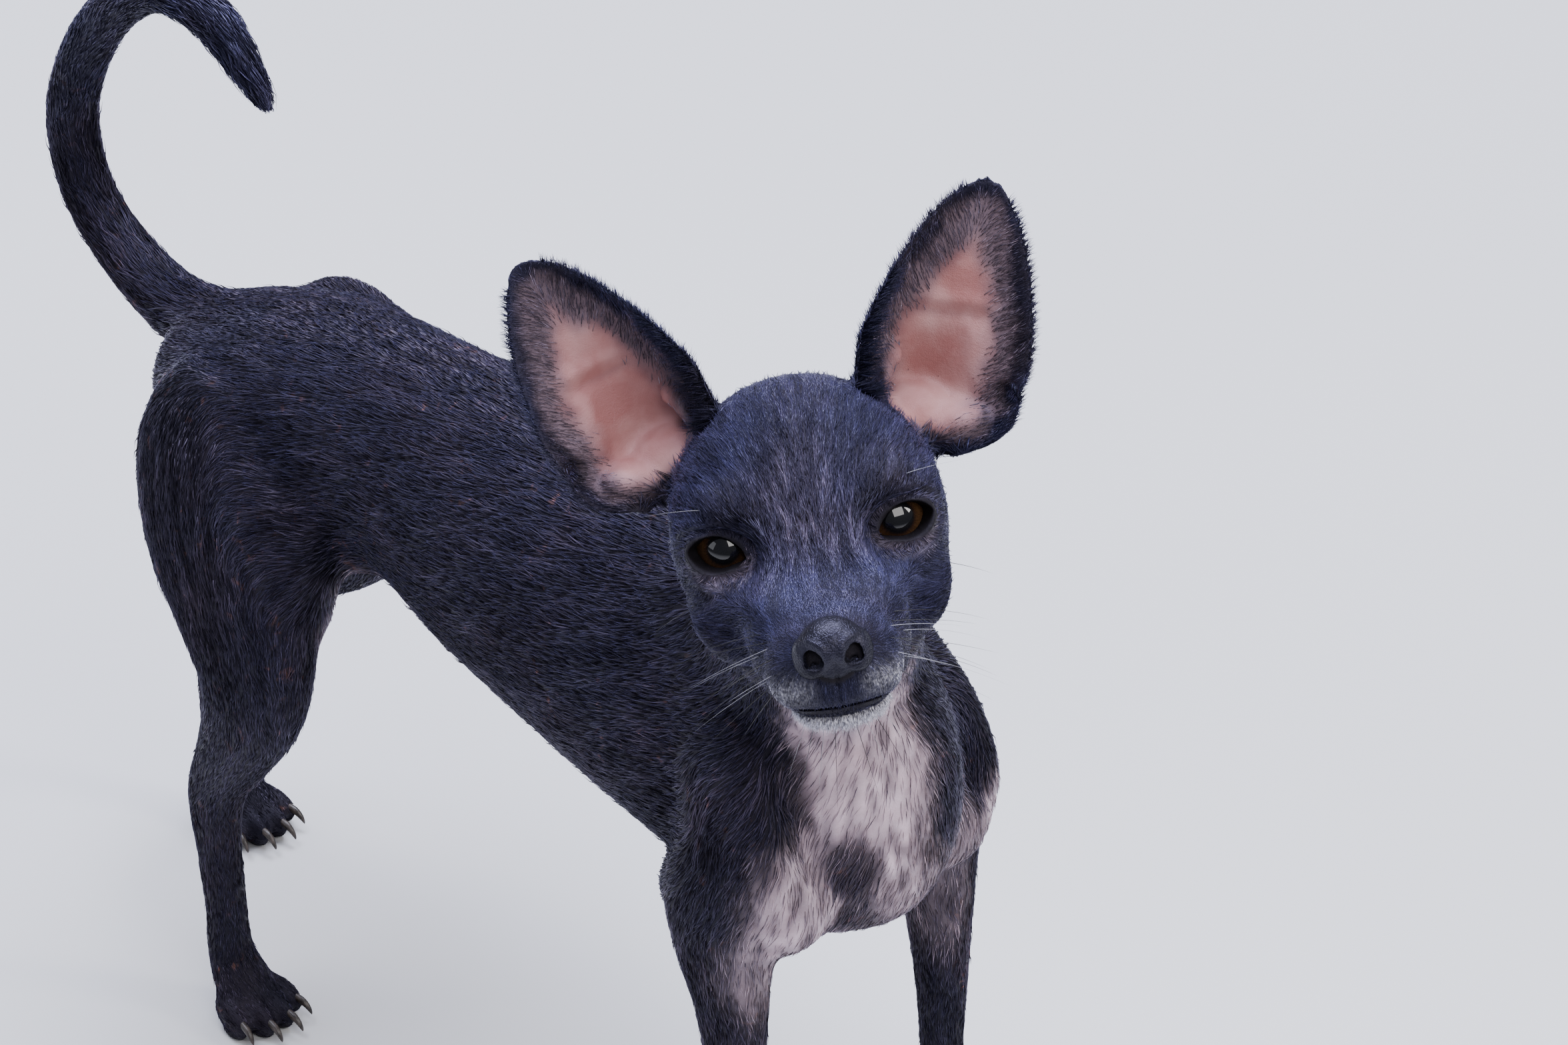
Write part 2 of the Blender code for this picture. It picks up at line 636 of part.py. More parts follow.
def eye_axes(side):
    """Across, out of and up an eye's opening. The outer corner is the higher one."""
    sideways = HEAD_LEFT * side
    out = (HEAD_FORWARD * math.cos(EYE_OUTWARD) + sideways * math.sin(EYE_OUTWARD)).normalized()
    across = (sideways + HEAD_UP * math.sin(EYE_OPENING_TILT)).normalized()
    across = (across - out * out.dot(across)).normalized()
    up = across.cross(out) * side
    return across, out, up if up.dot(HEAD_UP) > 0 else up * -1.0


def eye_opening(side):
    """An almond prism that opens the lids in front of the eyeball."""
    across, out, up = eye_axes(side)
    rings = []
    for reach in (EYE_RADIUS * 0.4, EYE_RADIUS * 2.2):
        ring = []
        for i in range(OPENING_SIDES):
            angle = 2 * math.pi * i / OPENING_SIDES
            high = math.sin(angle) * abs(math.sin(angle)) ** 0.3
            ring.append(eye_place(side) + out * reach
                        + across * EYE_OPENING[0] * math.cos(angle)
                        + up * EYE_OPENING[1] * high)
        rings.append(ring)
    return loft("opening", rings)


def mouth_groove():
    """A thin wedge along the meeting of the lips, from one corner to the other."""
    half = curve_through(MOUTH_LINE, 3)
    line = [(-left, forward, up) for left, forward, up in reversed(half[1:])] + half
    last = len(line) - 1
    rings = []
    for i, (left, forward, up) in enumerate(line):
        before = line[max(i - 1, 0)]
        after = line[min(i + 1, last)]
        out = Vector((after[1] - before[1], before[0] - after[0], 0.0)).normalized()
        if out.dot(Vector((left, forward - MOUTH_CENTRE, 0.0))) < 0:
            out = -out
        fade = 0.4 + 0.6 * min(1.0, (last - i) / 3.0, i / 3.0)
        corners = ((MOUTH_REACH, 1.0), (-MOUTH_DEPTH * fade, 0.3),
                   (-MOUTH_DEPTH * fade, -0.3), (MOUTH_REACH, -1.0))
        ring = []
        for reach, level in corners:
            spot = Vector((left, forward, up)) + out * reach
            spot.z += level * MOUTH_OPEN / 2
            ring.append(head_point(*spot))
        rings.append(ring)
    return loft("mouth line", rings)


def grown_copy(thing, grow):
    """A copy of a body that stands proud of it all round, to cut its seat."""
    twin = thing.copy()
    twin.data = thing.data.copy()
    bpy.context.scene.collection.objects.link(twin)
    swell = twin.modifiers.new("swell", "DISPLACE")
    swell.mid_level = 0.0
    swell.strength = grow
    apply_modifier(twin, swell.name)
    return twin


def make_nose(leather):
    forms = [head_ellipsoid("nose form", place, radii) for place, radii in NOSE_FORMS]
    nose = fuse("nose", forms)
    soften(nose, NOSE_VOXEL, 2)
    thin_out(nose, NOSE_TRIANGLES)
    seat = grown_copy(nose, GAP * 1.3)
    for side, _ in SIDES:
        pit = head_ellipsoid("nostril", (side * NOSTRIL[0], NOSTRIL[1], NOSTRIL[2]),
                             NOSTRIL_RADII, 2)
        boolean(nose, [pit], "DIFFERENCE")
    keep_largest(nose)
    finish(nose, leather)
    return nose, seat


def make_head(coat, ear_surface, seat):
    """The head with its ears, opened for the eyes, mouth and nose, and parted."""
    head = fuse("head form", head_forms())
    boolean(head, orbit_hollows(), "DIFFERENCE", "MANIFOLD")
    soften(head, HEAD_SOFT_VOXEL, HEAD_SOFTENING)
    pieces = [head]
    for side, _ in SIDES:
        pieces += ear_forms(side)
        across, out, up = eye_axes(side)
        lids = axes_turn(across, out, up)
        radii = (LID_RADII[0], LID_RADII[2], LID_RADII[1])
        pieces.append(ellipsoid("lids", eye_place(side), radii, lids))
    head = fuse("head form", pieces)
    soften(head, HEAD_VOXEL, 3)
    thin_out(head, HEAD_TRIANGLES)
    point, normal = neck_top()
    keep_side(head, point + normal * GAP, normal)
    for side, _ in SIDES:
        socket = ellipsoid("socket", eye_place(side), [EYE_RADIUS + GAP] * 3, None, 3)
        boolean(head, [socket], "DIFFERENCE")
        boolean(head, [eye_opening(side)], "DIFFERENCE")
    boolean(head, [seat], "DIFFERENCE")
    boolean(head, [mouth_groove()], "DIFFERENCE")
    slabs = []
    seeds = {"head": head_point(0.0, -0.0100, 0.0)}
    for side, word in SIDES:
        normal = HEAD_LEFT * side * math.cos(EAR_CUT_TURN) + HEAD_UP * math.sin(EAR_CUT_TURN)
        left, forward, up = EAR_CUT
        slabs.append(slab(head_point(side * left, forward, up), normal, EAR_CUT_HALF,
                          HEAD_FORWARD))
        seeds["ear_" + word] = ear_point(side, 0.0250, 0.0, 0.0100, -0.0180)
    parts = part_with(head, slabs, seeds)
    for name, thing in parts.items():
        finish(thing, ear_surface if name.startswith("ear") else coat)
    return parts


def make_eyes(surface):
    eyes = {}
    for side, word in SIDES:
        eye = ellipsoid("eye_" + word, eye_place(side), [EYE_RADIUS] * 3, None, 3)
        finish(eye, surface)
        eyes[eye.name] = eye
    return eyes


def make_body(coat):
    """Neck, torso, tail and legs, modelled whole and parted."""
    body = fuse("body form", body_forms())
    soften(body, BODY_VOXEL, BODY_SOFTENING)
    thin_out(body, BODY_TRIANGLES)
    point, normal = neck_top()
    keep_side(body, point, -normal)
    keep_side(body, Vector((0.0, 0.0, WRIST_LEVEL)), UPWARD)
    slabs = [slab(*NECK_FOOT_CUT, (0.0, 1.0, 0.0))]
    seeds = {"torso": (0.0, 0.0, 0.1550), "neck": (-0.0100, -0.0980, 0.1920)}
    for side, word in SIDES:
        for name, cut, leg in (("foreleg_", FORELEG_CUT, FORELEG),
                               ("hindleg_", HIND_LEG_CUT,
                                HIND_LEG_LEFT if word == "left" else HIND_LEG_RIGHT)):
            (x, y, z), (nx, ny, nz), halves = cut
            slabs.append(slab((side * x, y, z), (side * nx, ny, nz), halves, (0.0, 1.0, 0.0)))
            x, y, z = leg[5][0]
            seeds[name + word] = (side * x, y, z)
    for number in TAIL_CUTS:
        along = Vector(TAIL[number + 1][0]) - Vector(TAIL[number - 1][0])
        half = TAIL[number][1] * 1.6
        slabs.append(slab(TAIL[number][0], along, (half, half), ACROSS))
    for name, number in (("tail_base", 3), ("tail_middle", 6), ("tail_tip", 9)):
        seeds[name] = TAIL[number][0]
    parts = part_with(body, slabs, seeds)
    for thing in parts.values():
        finish(thing, coat)
    return parts


def toe_lean(across):
    """How far a toe is splayed, more for the outer two."""
    return math.copysign(TOE_SPLAY, across) * min(1.0, abs(across) / TOES[-1][0])


def paw_forms(place, size, leg, side):
    """Four toes with their pads, the heel pad and the back of the foot."""
    x, y = place
    ground = Vector((x, y, 0.0))
    forms = []
    for across, ahead in TOES:
        turn = (Matrix.Rotation(toe_lean(across), 4, "Z")
                @ Matrix.Rotation(TOE_DIP, 4, "X"))
        spot = ground + Vector((across, -ahead, TOE_LEVEL)) * size
        forms.append(ellipsoid("toe", spot, [r * size for r in TOE_RADII], turn))
        spot = ground + Vector((across, -ahead - 0.0010, 0.0016)) * size
        forms.append(ellipsoid("toe pad", spot, [r * size for r in TOE_PAD], turn, 3))
    spot = ground + Vector((0.0, 0.0016, 0.0019)) * size
    forms.append(ellipsoid("heel pad", spot, [r * size for r in HEEL_PAD], None, 3))
    spot = ground + Vector(PALM[0]) * size
    forms.append(ellipsoid("palm", spot, [r * size for r in PALM[1]]))
    arch = []
    for height, back, wide, deep in PAW_ARCH:
        spot = ground + Vector((0.0, back, height)) * size
        arch.append((tuple(spot), wide * size, deep * size))
    for (leg_x, leg_y, leg_z), wide, deep in reversed(leg[-3:]):
        arch.append(((side * leg_x, leg_y, leg_z), wide, deep))
    forms.append(limb("arch", arch))
    return forms


def claw(name, place, toe, size, grow):
    """A short claw at a toe's end, curved down and clear of the floor."""
    across, ahead = toe
    root = Vector((place[0], place[1], 0.0)) + Vector((across, -ahead, 0.0)) * size
    turn = Matrix.Rotation(toe_lean(across), 3, "Z")
    rings = []
    for step, (reach, level, thick) in enumerate(CLAW_STATIONS):
        end_grow = grow if step else -grow
        ring = []
        for i in range(CLAW_SIDES):
            angle = 2 * math.pi * i / CLAW_SIDES
            spot = Vector((math.cos(angle) * (thick * size * 0.8 + grow),
                           -reach * size - end_grow,
                           level * size + math.sin(angle) * (thick * size + grow)))
            ring.append(root + turn @ spot)
        rings.append(ring)
    return loft(name, rings)


def make_paws(coat, horn):
    made = {}
    for name, place, size, leg, side in PAWS:
        paw = fuse(name, paw_forms(place, size, leg, side))
        soften(paw, PAW_VOXEL, 5)
        thin_out(paw, PAW_TRIANGLES)
        keep_side(paw, Vector((0.0, 0.0, WRIST_LEVEL - GAP)), -UPWARD)
        keep_side(paw, Vector((0.0, 0.0, 0.0)), UPWARD)
        for number, toe in enumerate(TOES):
            boolean(paw, [claw("seat", place, toe, size, GAP)], "DIFFERENCE")
            one = claw("%s_claw_%d" % (name, number + 1), place, toe, size, 0.0)
            finish(one, horn)
            made[one.name] = one
        keep_largest(paw)
        finish(paw, coat)
        made[name] = paw
    return made


def finish(thing, surface):
    thing.data.materials.clear()
    thing.data.materials.append(surface)
    thing.data.shade_smooth()
    thing.data.set_sharp_from_angle(angle=math.radians(50.0))


def set_on_origin(nodes):
    """Move the whole dog so that the origin is on the floor below the middle of its box."""
    points = [v.co for thing in nodes.values() for v in thing.data.vertices]
    low = [min(p[i] for p in points) for i in range(3)]
    high = [max(p[i] for p in points) for i in range(3)]
    shift = Vector((-(low[0] + high[0]) / 2, -(low[1] + high[1]) / 2, -low[2]))
    for thing in nodes.values():
        thing.data.transform(Matrix.Translation(shift))


def main():
    clear_scene()
    coat = material("coat", COAT_COLOUR, 0.55)
    leather = material("nose leather", NOSE_COLOUR, 0.35)
    horn = material("claw horn", CLAW_COLOUR, 0.40)
    eye_surface = material("eye", EYE_COLOUR, 0.05)
    ear_surface = material("ear", EAR_COLOUR, 0.60)
    nodes = {}
    nose, seat = make_nose(leather)
    nodes["nose"] = nose
    nodes.update(make_head(coat, ear_surface, seat))
    nodes.update(make_eyes(eye_surface))
    nodes.update(make_body(coat))
    nodes.update(make_paws(coat, horn))
    set_on_origin(nodes)


main()
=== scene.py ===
"""The looks of a short-coated chihuahua that stands with its head raised and turned.

All sizes are in metres. The dog is shaped facing -Y with +Z up and its left at +X, from the same
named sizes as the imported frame, and each finished piece is then moved to the frame's origin.
One skin stands for all the flesh. Over it lies a short coat of mesh tufts.
"""
import math

import bpy
import numpy as np
from mathutils import Matrix, Vector
from mathutils.bvhtree import BVHTree

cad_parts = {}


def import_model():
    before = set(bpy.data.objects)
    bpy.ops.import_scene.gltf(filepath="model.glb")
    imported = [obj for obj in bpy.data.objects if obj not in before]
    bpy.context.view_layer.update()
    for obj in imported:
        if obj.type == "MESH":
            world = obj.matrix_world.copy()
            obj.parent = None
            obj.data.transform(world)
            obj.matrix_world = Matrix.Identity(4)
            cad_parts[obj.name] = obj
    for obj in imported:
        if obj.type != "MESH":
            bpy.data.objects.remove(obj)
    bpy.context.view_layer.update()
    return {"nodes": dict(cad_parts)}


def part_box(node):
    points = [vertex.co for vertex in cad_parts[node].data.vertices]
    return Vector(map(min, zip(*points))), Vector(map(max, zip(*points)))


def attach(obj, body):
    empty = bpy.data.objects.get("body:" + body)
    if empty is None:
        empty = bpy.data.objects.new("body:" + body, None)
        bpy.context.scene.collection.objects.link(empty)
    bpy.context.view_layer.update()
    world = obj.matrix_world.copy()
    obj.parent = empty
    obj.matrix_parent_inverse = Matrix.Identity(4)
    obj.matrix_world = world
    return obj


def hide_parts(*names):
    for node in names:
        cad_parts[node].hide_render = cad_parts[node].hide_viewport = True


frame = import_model()

# Body: (y, height of the widest level, half width, rise above it, drop below it)
BODY_STATIONS = (
    (0.1310, 0.1590, 0.0080, 0.0060, 0.0080),
    (0.1250, 0.1590, 0.0200, 0.0135, 0.0190),
    (0.1100, 0.1580, 0.0275, 0.0215, 0.0270),
    (0.0900, 0.1590, 0.0290, 0.0280, 0.0290),
    (0.0650, 0.1615, 0.0275, 0.0305, 0.0310),
    (0.0420, 0.1620, 0.0268, 0.0325, 0.0310),
    (0.0170, 0.1590, 0.0310, 0.0375, 0.0345),
    (-0.0100, 0.1570, 0.0345, 0.0400, 0.0365),
    (-0.0360, 0.1540, 0.0365, 0.0435, 0.0380),
    (-0.0600, 0.1515, 0.0365, 0.0480, 0.0410),
    (-0.0850, 0.1480, 0.0335, 0.0480, 0.0445),
    (-0.1030, 0.1450, 0.0270, 0.0380, 0.0370),
    (-0.1160, 0.1430, 0.0175, 0.0260, 0.0250),
    (-0.1215, 0.1420, 0.0070, 0.0110, 0.0110),
)

# Neck: (centre, half width, half depth) from the chest up to the skull
NECK_STATIONS = (
    ((0.0000, -0.0620, 0.1560), 0.0310, 0.0400),
    ((-0.0020, -0.0790, 0.1740), 0.0285, 0.0345),
    ((-0.0080, -0.0930, 0.1910), 0.0245, 0.0275),
    ((-0.0165, -0.1050, 0.2060), 0.0228, 0.0245),
    ((-0.0235, -0.1140, 0.2190), 0.0220, 0.0235),
    ((-0.0290, -0.1200, 0.2290), 0.0210, 0.0220),
)

# Skull and muzzle in the head frame: (forward, widest level, half width, rise, drop)
SKULL_STATIONS = (
    (-0.0540, 0.0030, 0.0040, 0.0030, 0.0040),
    (-0.0510, 0.0030, 0.0130, 0.0110, 0.0130),
    (-0.0450, 0.0020, 0.0210, 0.0200, 0.0200),
    (-0.0350, 0.0010, 0.0270, 0.0270, 0.0240),
    (-0.0220, 0.0000, 0.0298, 0.0312, 0.0250),
    (-0.0100, -0.0020, 0.0300, 0.0318, 0.0250),
    (-0.0010, -0.0040, 0.0285, 0.0275, 0.0260),
    (0.0060, -0.0060, 0.0250, 0.0210, 0.0250),
    (0.0120, -0.0095, 0.0205, 0.0135, 0.0230),
    (0.0170, -0.0125, 0.0175, 0.0095, 0.0195),
    (0.0230, -0.0150, 0.0152, 0.0080, 0.0165),
    (0.0320, -0.0180, 0.0138, 0.0095, 0.0130),
    (0.0400, -0.0200, 0.0128, 0.0105, 0.0105),
    (0.0440, -0.0208, 0.0105, 0.0095, 0.0080),
    (0.0465, -0.0210, 0.0065, 0.0060, 0.0050),
)

# Rounded forms of the head, one side: (left, forward, up), radii in the same order
HEAD_SIDE_FORMS = {
    "temple": ((0.0175, -0.0260, 0.0065), (0.0105, 0.0190, 0.0155)),
    "brow": ((0.0140, 0.0015, 0.0095), (0.0100, 0.0070, 0.0050)),
    "cheekbone": ((0.0185, -0.0030, -0.0110), (0.0102, 0.0170, 0.0090)),
    "jaw angle": ((0.0135, -0.0150, -0.0190), (0.0092, 0.0170, 0.0105)),
    "upper jaw": ((0.0100, 0.0200, -0.0165), (0.0078, 0.0150, 0.0090)),
    "whisker pad": ((0.0076, 0.0360, -0.0208), (0.0074, 0.0095, 0.0076)),
}
ORBIT = ((0.0205, 0.0115, 0.0000), (0.0105, 0.0090, 0.0072))

# Lower jaw: (forward, level, half width, half height)
LOWER_JAW = (
    (-0.0150, -0.0250, 0.0160, 0.0065),
    (0.0050, -0.0275, 0.0132, 0.0060),
    (0.0220, -0.0292, 0.0104, 0.0052),
    (0.0320, -0.0302, 0.0094, 0.0045),
    (0.0375, -0.0306, 0.0073, 0.0040),
    (0.0405, -0.0304, 0.0038, 0.0024),
)

# Eyes
EYE_RADIUS = 0.0076
EYE_SIDE = 0.0172
EYE_BACK = -0.0048
EYE_OUTWARD = math.radians(20.0)
EYE_OPENING = (0.0052, 0.0027)      # half length and half height of the opening
EYE_OPENING_TILT = math.radians(9.0)
# The cut between the lids: how far out of the eye's middle, and how much wider and higher there
EYE_OPENING_FLARE = ((0.0030, 1.0, 1.0), (0.0056, 1.0, 1.0), (0.0090, 1.12, 1.42), (0.0165, 1.18, 1.60))
LID_RADII = (0.0096, 0.0090, 0.0082)        # across, out of and up the opening
CORNEA_RADIUS = 0.0064
CORNEA_AHEAD = 0.0023
EYE_BLEND = 60              # power that blends the cornea's edge into the ball
PUPIL_RADIUS = 0.0032
IRIS_RADIUS = 0.0068
GAZE = np.array((-0.5720, -0.6134, 0.5446))         # the way from the dog to the camera

# Nose leather in the head frame: (centre, radii)
NOSE_FORMS = (
    ((0.0000, 0.0432, -0.0156), (0.0068, 0.0060, 0.0058)),
    ((0.0042, 0.0428, -0.0176), (0.0040, 0.0050, 0.0052)),
    ((-0.0042, 0.0428, -0.0176), (0.0040, 0.0050, 0.0052)),
    ((0.0000, 0.0432, -0.0194), (0.0058, 0.0043, 0.0046)),
)
# Comma of a nostril, from its round end to the slit's end: (left, forward, up), radius
NOSTRIL = (
    ((0.0041, 0.0474, -0.0174), 0.0018),
    ((0.0052, 0.0466, -0.0180), 0.0009),
    ((0.0061, 0.0456, -0.0184), 0.0006),
    ((0.0068, 0.0444, -0.0182), 0.0004),
)
NOSTRIL_STRETCH = (1.15, 1.9, 0.95)     # each hole's radii for its radius, across, deep and high
NOSE_TRIANGLES = 24000
NOSE_VOXEL = 0.00030
NOSE_FINE_VOXEL = 0.00026

# Line of the mouth, one side, from the middle, in the head frame
MOUTH_LINE = (
    (0.0000, 0.0420, -0.0286),
    (0.0050, 0.0408, -0.0286),
    (0.0090, 0.0370, -0.0282),
    (0.0120, 0.0300, -0.0276),
    (0.0145, 0.0200, -0.0264),
    (0.0160, 0.0130, -0.0250),
)
MOUTH_CENTRE = 0.0200
MOUTH_DEPTH = 0.0022
MOUTH_REACH = 0.0080
MOUTH_OPEN = 0.0010

# Ear blade: along it from root to tip, its inner and outer edges, depth of its cup, rim forward
EAR_ROOT = (0.0260, 0.0185)
EAR_LEAN = math.radians(30.0)
EAR_STATIONS = (
    (-0.0070, -0.0110, 0.0110, 0.0120, -0.0185),
    (0.0000, -0.0136, 0.0185, 0.0150, -0.0160),
    (0.0060, -0.0152, 0.0206, 0.0160, -0.0150),
    (0.0120, -0.0166, 0.0198, 0.0150, -0.0148),
    (0.0200, -0.0160, 0.0192, 0.0125, -0.0160),
    (0.0300, -0.0141, 0.0160, 0.0090, -0.0190),
    (0.0390, -0.0112, 0.0117, 0.0060, -0.0220),
    (0.0450, -0.0080, 0.0076, 0.0040, -0.0245),
    (0.0490, -0.0047, 0.0040, 0.0022, -0.0262),
    (0.0512, -0.0012, 0.0014, 0.0008, -0.0272),
)
EAR_CUP_INWARD = 0.22       # how far the deepest line lies toward the inner edge
EAR_CUP_FLAT = (2.4, 0.8)   # powers that give the cup a flat floor and steep walls
EAR_THICKNESS = 0.0017
EAR_COLUMNS = 36
# Root bulge and knobs at the mouth of the ear: (along, across, behind the rim, rim), radii
EAR_KNOBS = (
    ((-0.0040, 0.0000, 0.0140, -0.0160), (0.0120, 0.0090, 0.0090)),
    ((-0.0010, 0.0105, 0.0090, -0.0160), (0.0080, 0.0070, 0.0055)),
    ((0.0020, -0.0085, 0.0082, -0.0150), (0.0024, 0.0036, 0.0016)),
    ((0.0056, -0.0088, 0.0088, -0.0150), (0.0028, 0.0040, 0.0020)),
    ((0.0094, -0.0080, 0.0104, -0.0150), (0.0026, 0.0036, 0.0017)),
    ((0.0015, 0.0115, 0.0060, -0.0150), (0.0052, 0.0034, 0.0026)),
)

# Legs: (x, y, z) of the left leg's joints, with the half width and half depth there
FORELEG = (
    ((0.0240, -0.0700, 0.1760), 0.0070, 0.0110),
    ((0.0280, -0.0850, 0.1560), 0.0090, 0.0170),
    ((0.0305, -0.0930, 0.1390), 0.0105, 0.0180),
    ((0.0320, -0.0900, 0.1240), 0.0120, 0.0170),
    ((0.0320, -0.0900, 0.1110), 0.0108, 0.0138),
    ((0.0320, -0.0925, 0.0950), 0.0084, 0.0102),
    ((0.0320, -0.0940, 0.0700), 0.0066, 0.0072),
    ((0.0320, -0.0945, 0.0450), 0.0056, 0.0059),
    ((0.0320, -0.0955, 0.0310), 0.0066, 0.0064),
    ((0.0320, -0.0965, 0.0220), 0.0066, 0.0060),
    ((0.0320, -0.0980, 0.0140), 0.0070, 0.0060),
)
HIND_LEG_RIGHT = (
    ((0.0180, 0.0920, 0.1720), 0.0110, 0.0160),
    ((0.0250, 0.0920, 0.1560), 0.0150, 0.0270),
    ((0.0290, 0.0850, 0.1360), 0.0150, 0.0300),
    ((0.0320, 0.0760, 0.1170), 0.0132, 0.0240),
    ((0.0335, 0.0730, 0.1000), 0.0110, 0.0175),
    ((0.0335, 0.0790, 0.0840), 0.0088, 0.0127),
    ((0.0332, 0.0875, 0.0680), 0.0068, 0.0095),
    ((0.0330, 0.0905, 0.0570), 0.0064, 0.0086),
    ((0.0330, 0.0895, 0.0430), 0.0057, 0.0069),
    ((0.0330, 0.0880, 0.0280), 0.0056, 0.0058),
    ((0.0330, 0.0870, 0.0160), 0.0064, 0.0060),
)
HIND_LEG_LEFT = (
    ((0.0180, 0.0940, 0.1720), 0.0110, 0.0160),
    ((0.0245, 0.0980, 0.1560), 0.0150, 0.0270),
    ((0.0275, 0.0990, 0.1370), 0.0148, 0.0290),
    ((0.0280, 0.1020, 0.1180), 0.0130, 0.0235),
    ((0.0260, 0.1100, 0.1020), 0.0108, 0.0172),
    ((0.0235, 0.1240, 0.0880), 0.0088, 0.0127),
    ((0.0205, 0.1405, 0.0740), 0.0068, 0.0095),
    ((0.0185, 0.1500, 0.0610), 0.0064, 0.0086),
    ((0.0180, 0.1522, 0.0450), 0.0057, 0.0069),
    ((0.0175, 0.1515, 0.0290), 0.0056, 0.0058),
    ((0.0175, 0.1500, 0.0160), 0.0064, 0.0060),
)
# Points of the elbow and hock: (centre, radii, lean forward in degrees)
ELBOW = ((0.0320, -0.0755, 0.1210), (0.0060, 0.0062, 0.0095), -12.0)
HOCK_RIGHT = ((0.0330, 0.0945, 0.0655), (0.0040, 0.0044, 0.0125), 18.0)
HOCK_LEFT = ((0.0187, 0.1540, 0.0690), (0.0040, 0.0044, 0.0125), 34.0)

# Muscles and bony points: (centre, radii, turn about X in degrees, shift along Y on the left)
BODY_SIDE_FORMS = {
    "shoulder blade": ((0.0205, -0.0700, 0.1650), (0.0105, 0.0180, 0.0310), -22.0, 0.0),
    "shoulder point": ((0.0240, -0.1010, 0.1280), (0.0125, 0.0120, 0.0160), 0.0, 0.0),
    "upper arm": ((0.0285, -0.0900, 0.1320), (0.0110, 0.0190, 0.0140), 35.0, 0.0),
    "breast": ((0.0105, -0.1030, 0.1320), (0.0120, 0.0110, 0.0200), 0.0, 0.0),
    "haunch": ((0.0150, 0.0800, 0.1670), (0.0130, 0.0230, 0.0160), 12.0, 0.0),
    "buttock": ((0.0175, 0.1080, 0.1450), (0.0140, 0.0170, 0.0230), 15.0, 0.0030),
    "thigh front": ((0.0270, 0.0660, 0.1290), (0.0110, 0.0130, 0.0250), 20.0, 0.0200),
    "flank fold": ((0.0180, 0.0500, 0.1470), (0.0060, 0.0200, 0.0090), -35.0, 0.0060),
}

# Tail: points of its middle line and its half thickness there
TAIL = (
    ((0.0, 0.1120, 0.1660), 0.0112),
    ((0.0, 0.1260, 0.1640), 0.0100),
    ((0.0, 0.1400, 0.1640), 0.0088),
    ((0.0, 0.1574, 0.1705), 0.0078),
    ((0.0, 0.1710, 0.1820), 0.0074),
    ((0.0, 0.1756, 0.1999), 0.0073),
    ((0.0, 0.1695, 0.2194), 0.0072),
    ((0.0, 0.1562, 0.2380), 0.0069),
    ((0.0, 0.1390, 0.2505), 0.0066),
    ((0.0, 0.1205, 0.2505), 0.0062),
    ((0.0, 0.1085, 0.2425), 0.0050),
    ((0.0, 0.0990, 0.2330), 0.0026),
)

# Paws: place on the floor, size, leg and side
PAWS = {
    "forepaw_right": ((-0.0320, -0.1030), 1.00, FORELEG, -1.0),
    "forepaw_left": ((0.0320, -0.1030), 1.00, FORELEG, 1.0),
    "hindpaw_right": ((-0.0330, 0.0820), 0.96, HIND_LEG_RIGHT, -1.0),
    "hindpaw_left": ((0.0175, 0.1450), 0.96, HIND_LEG_LEFT, 1.0),
}
TOES = ((-0.0080, 0.0040), (-0.0028, 0.0078), (0.0028, 0.0078), (0.0080, 0.0040))
TOE_RADII = (0.0034, 0.0080, 0.0047)
TOE_LEVEL = 0.0050
TOE_SPLAY = math.radians(9.0)
TOE_DIP = math.radians(12.0)
TOE_PAD = (0.0024, 0.0036, 0.0024)
HEEL_PAD = (0.0060, 0.0046, 0.0026)
PALM = ((0.0, -0.0006, 0.0075), (0.0088, 0.0078, 0.0058))
PAW_ARCH = (
    (0.0060, -0.0050, 0.0074, 0.0045),
    (0.0090, 0.0000, 0.0084, 0.0064),
)
# Claw: (reach ahead of its toe, level, half height)
CLAW_STATIONS = (
    (0.0050, 0.0054, 0.0012),
    (0.0070, 0.0052, 0.0012),
    (0.0084, 0.0047, 0.0011),
    (0.0095, 0.0039, 0.0009),
    (0.0102, 0.0031, 0.0006),
    (0.0105, 0.0026, 0.0003),
)
CLAW_SIDES = 16
CLAW_NARROW = (0.62, 0.80)      # width for height, below and above a claw's middle

# Fineness of the skin
BODY_VOXEL = 0.0014
BODY_SMOOTHING = 20
HEAD_VOXEL = 0.0011
HEAD_SMOOTHING = 12
PAW_VOXEL = 0.0006
SKIN_VOXEL = 0.00085
SKIN_TRIANGLES = 192000
FACE_FINENESS = 1e-6        # weight of the fine places when the skin is thinned

SIDES = (-1.0, 1.0)
ACROSS = np.array((1.0, 0.0, 0.0))
UPWARD = np.array((0.0, 0.0, 1.0))


def unit(way):
    way = np.asarray(way, float)
    return way / np.maximum(np.linalg.norm(way, axis=-1, keepdims=True), 1e-12)


# Head frame: the point midway between the eyes, and the head's own left, forward and up
EYE_MIDDLE = np.array((-0.0450, -0.1316, 0.2469))
HEAD_LEFT = unit((0.7856, -0.6007, 0.1485))
HEAD_FORWARD = unit((-0.6043, -0.6931, 0.3930))
HEAD_UP = unit(np.cross(HEAD_FORWARD, HEAD_LEFT))


def head_point(left, forward, up):
    place = np.multiply.outer(left, HEAD_LEFT) + np.multiply.outer(forward, HEAD_FORWARD)
    return EYE_MIDDLE + place + np.multiply.outer(up, HEAD_UP)


def head_place(points):
    """How far left, forward and up of the eyes' middle each point is, as three arrays."""
    away = points - EYE_MIDDLE
    return away @ HEAD_LEFT, away @ HEAD_FORWARD, away @ HEAD_UP


def ear_point(side, along, across, back, rim_forward):
    out = EAR_ROOT[0] + along * math.sin(EAR_LEAN) + across * math.cos(EAR_LEAN)
    up = EAR_ROOT[1] + along * math.cos(EAR_LEAN) - across * math.sin(EAR_LEAN)
    return head_point(side * out, rim_forward - back, up)


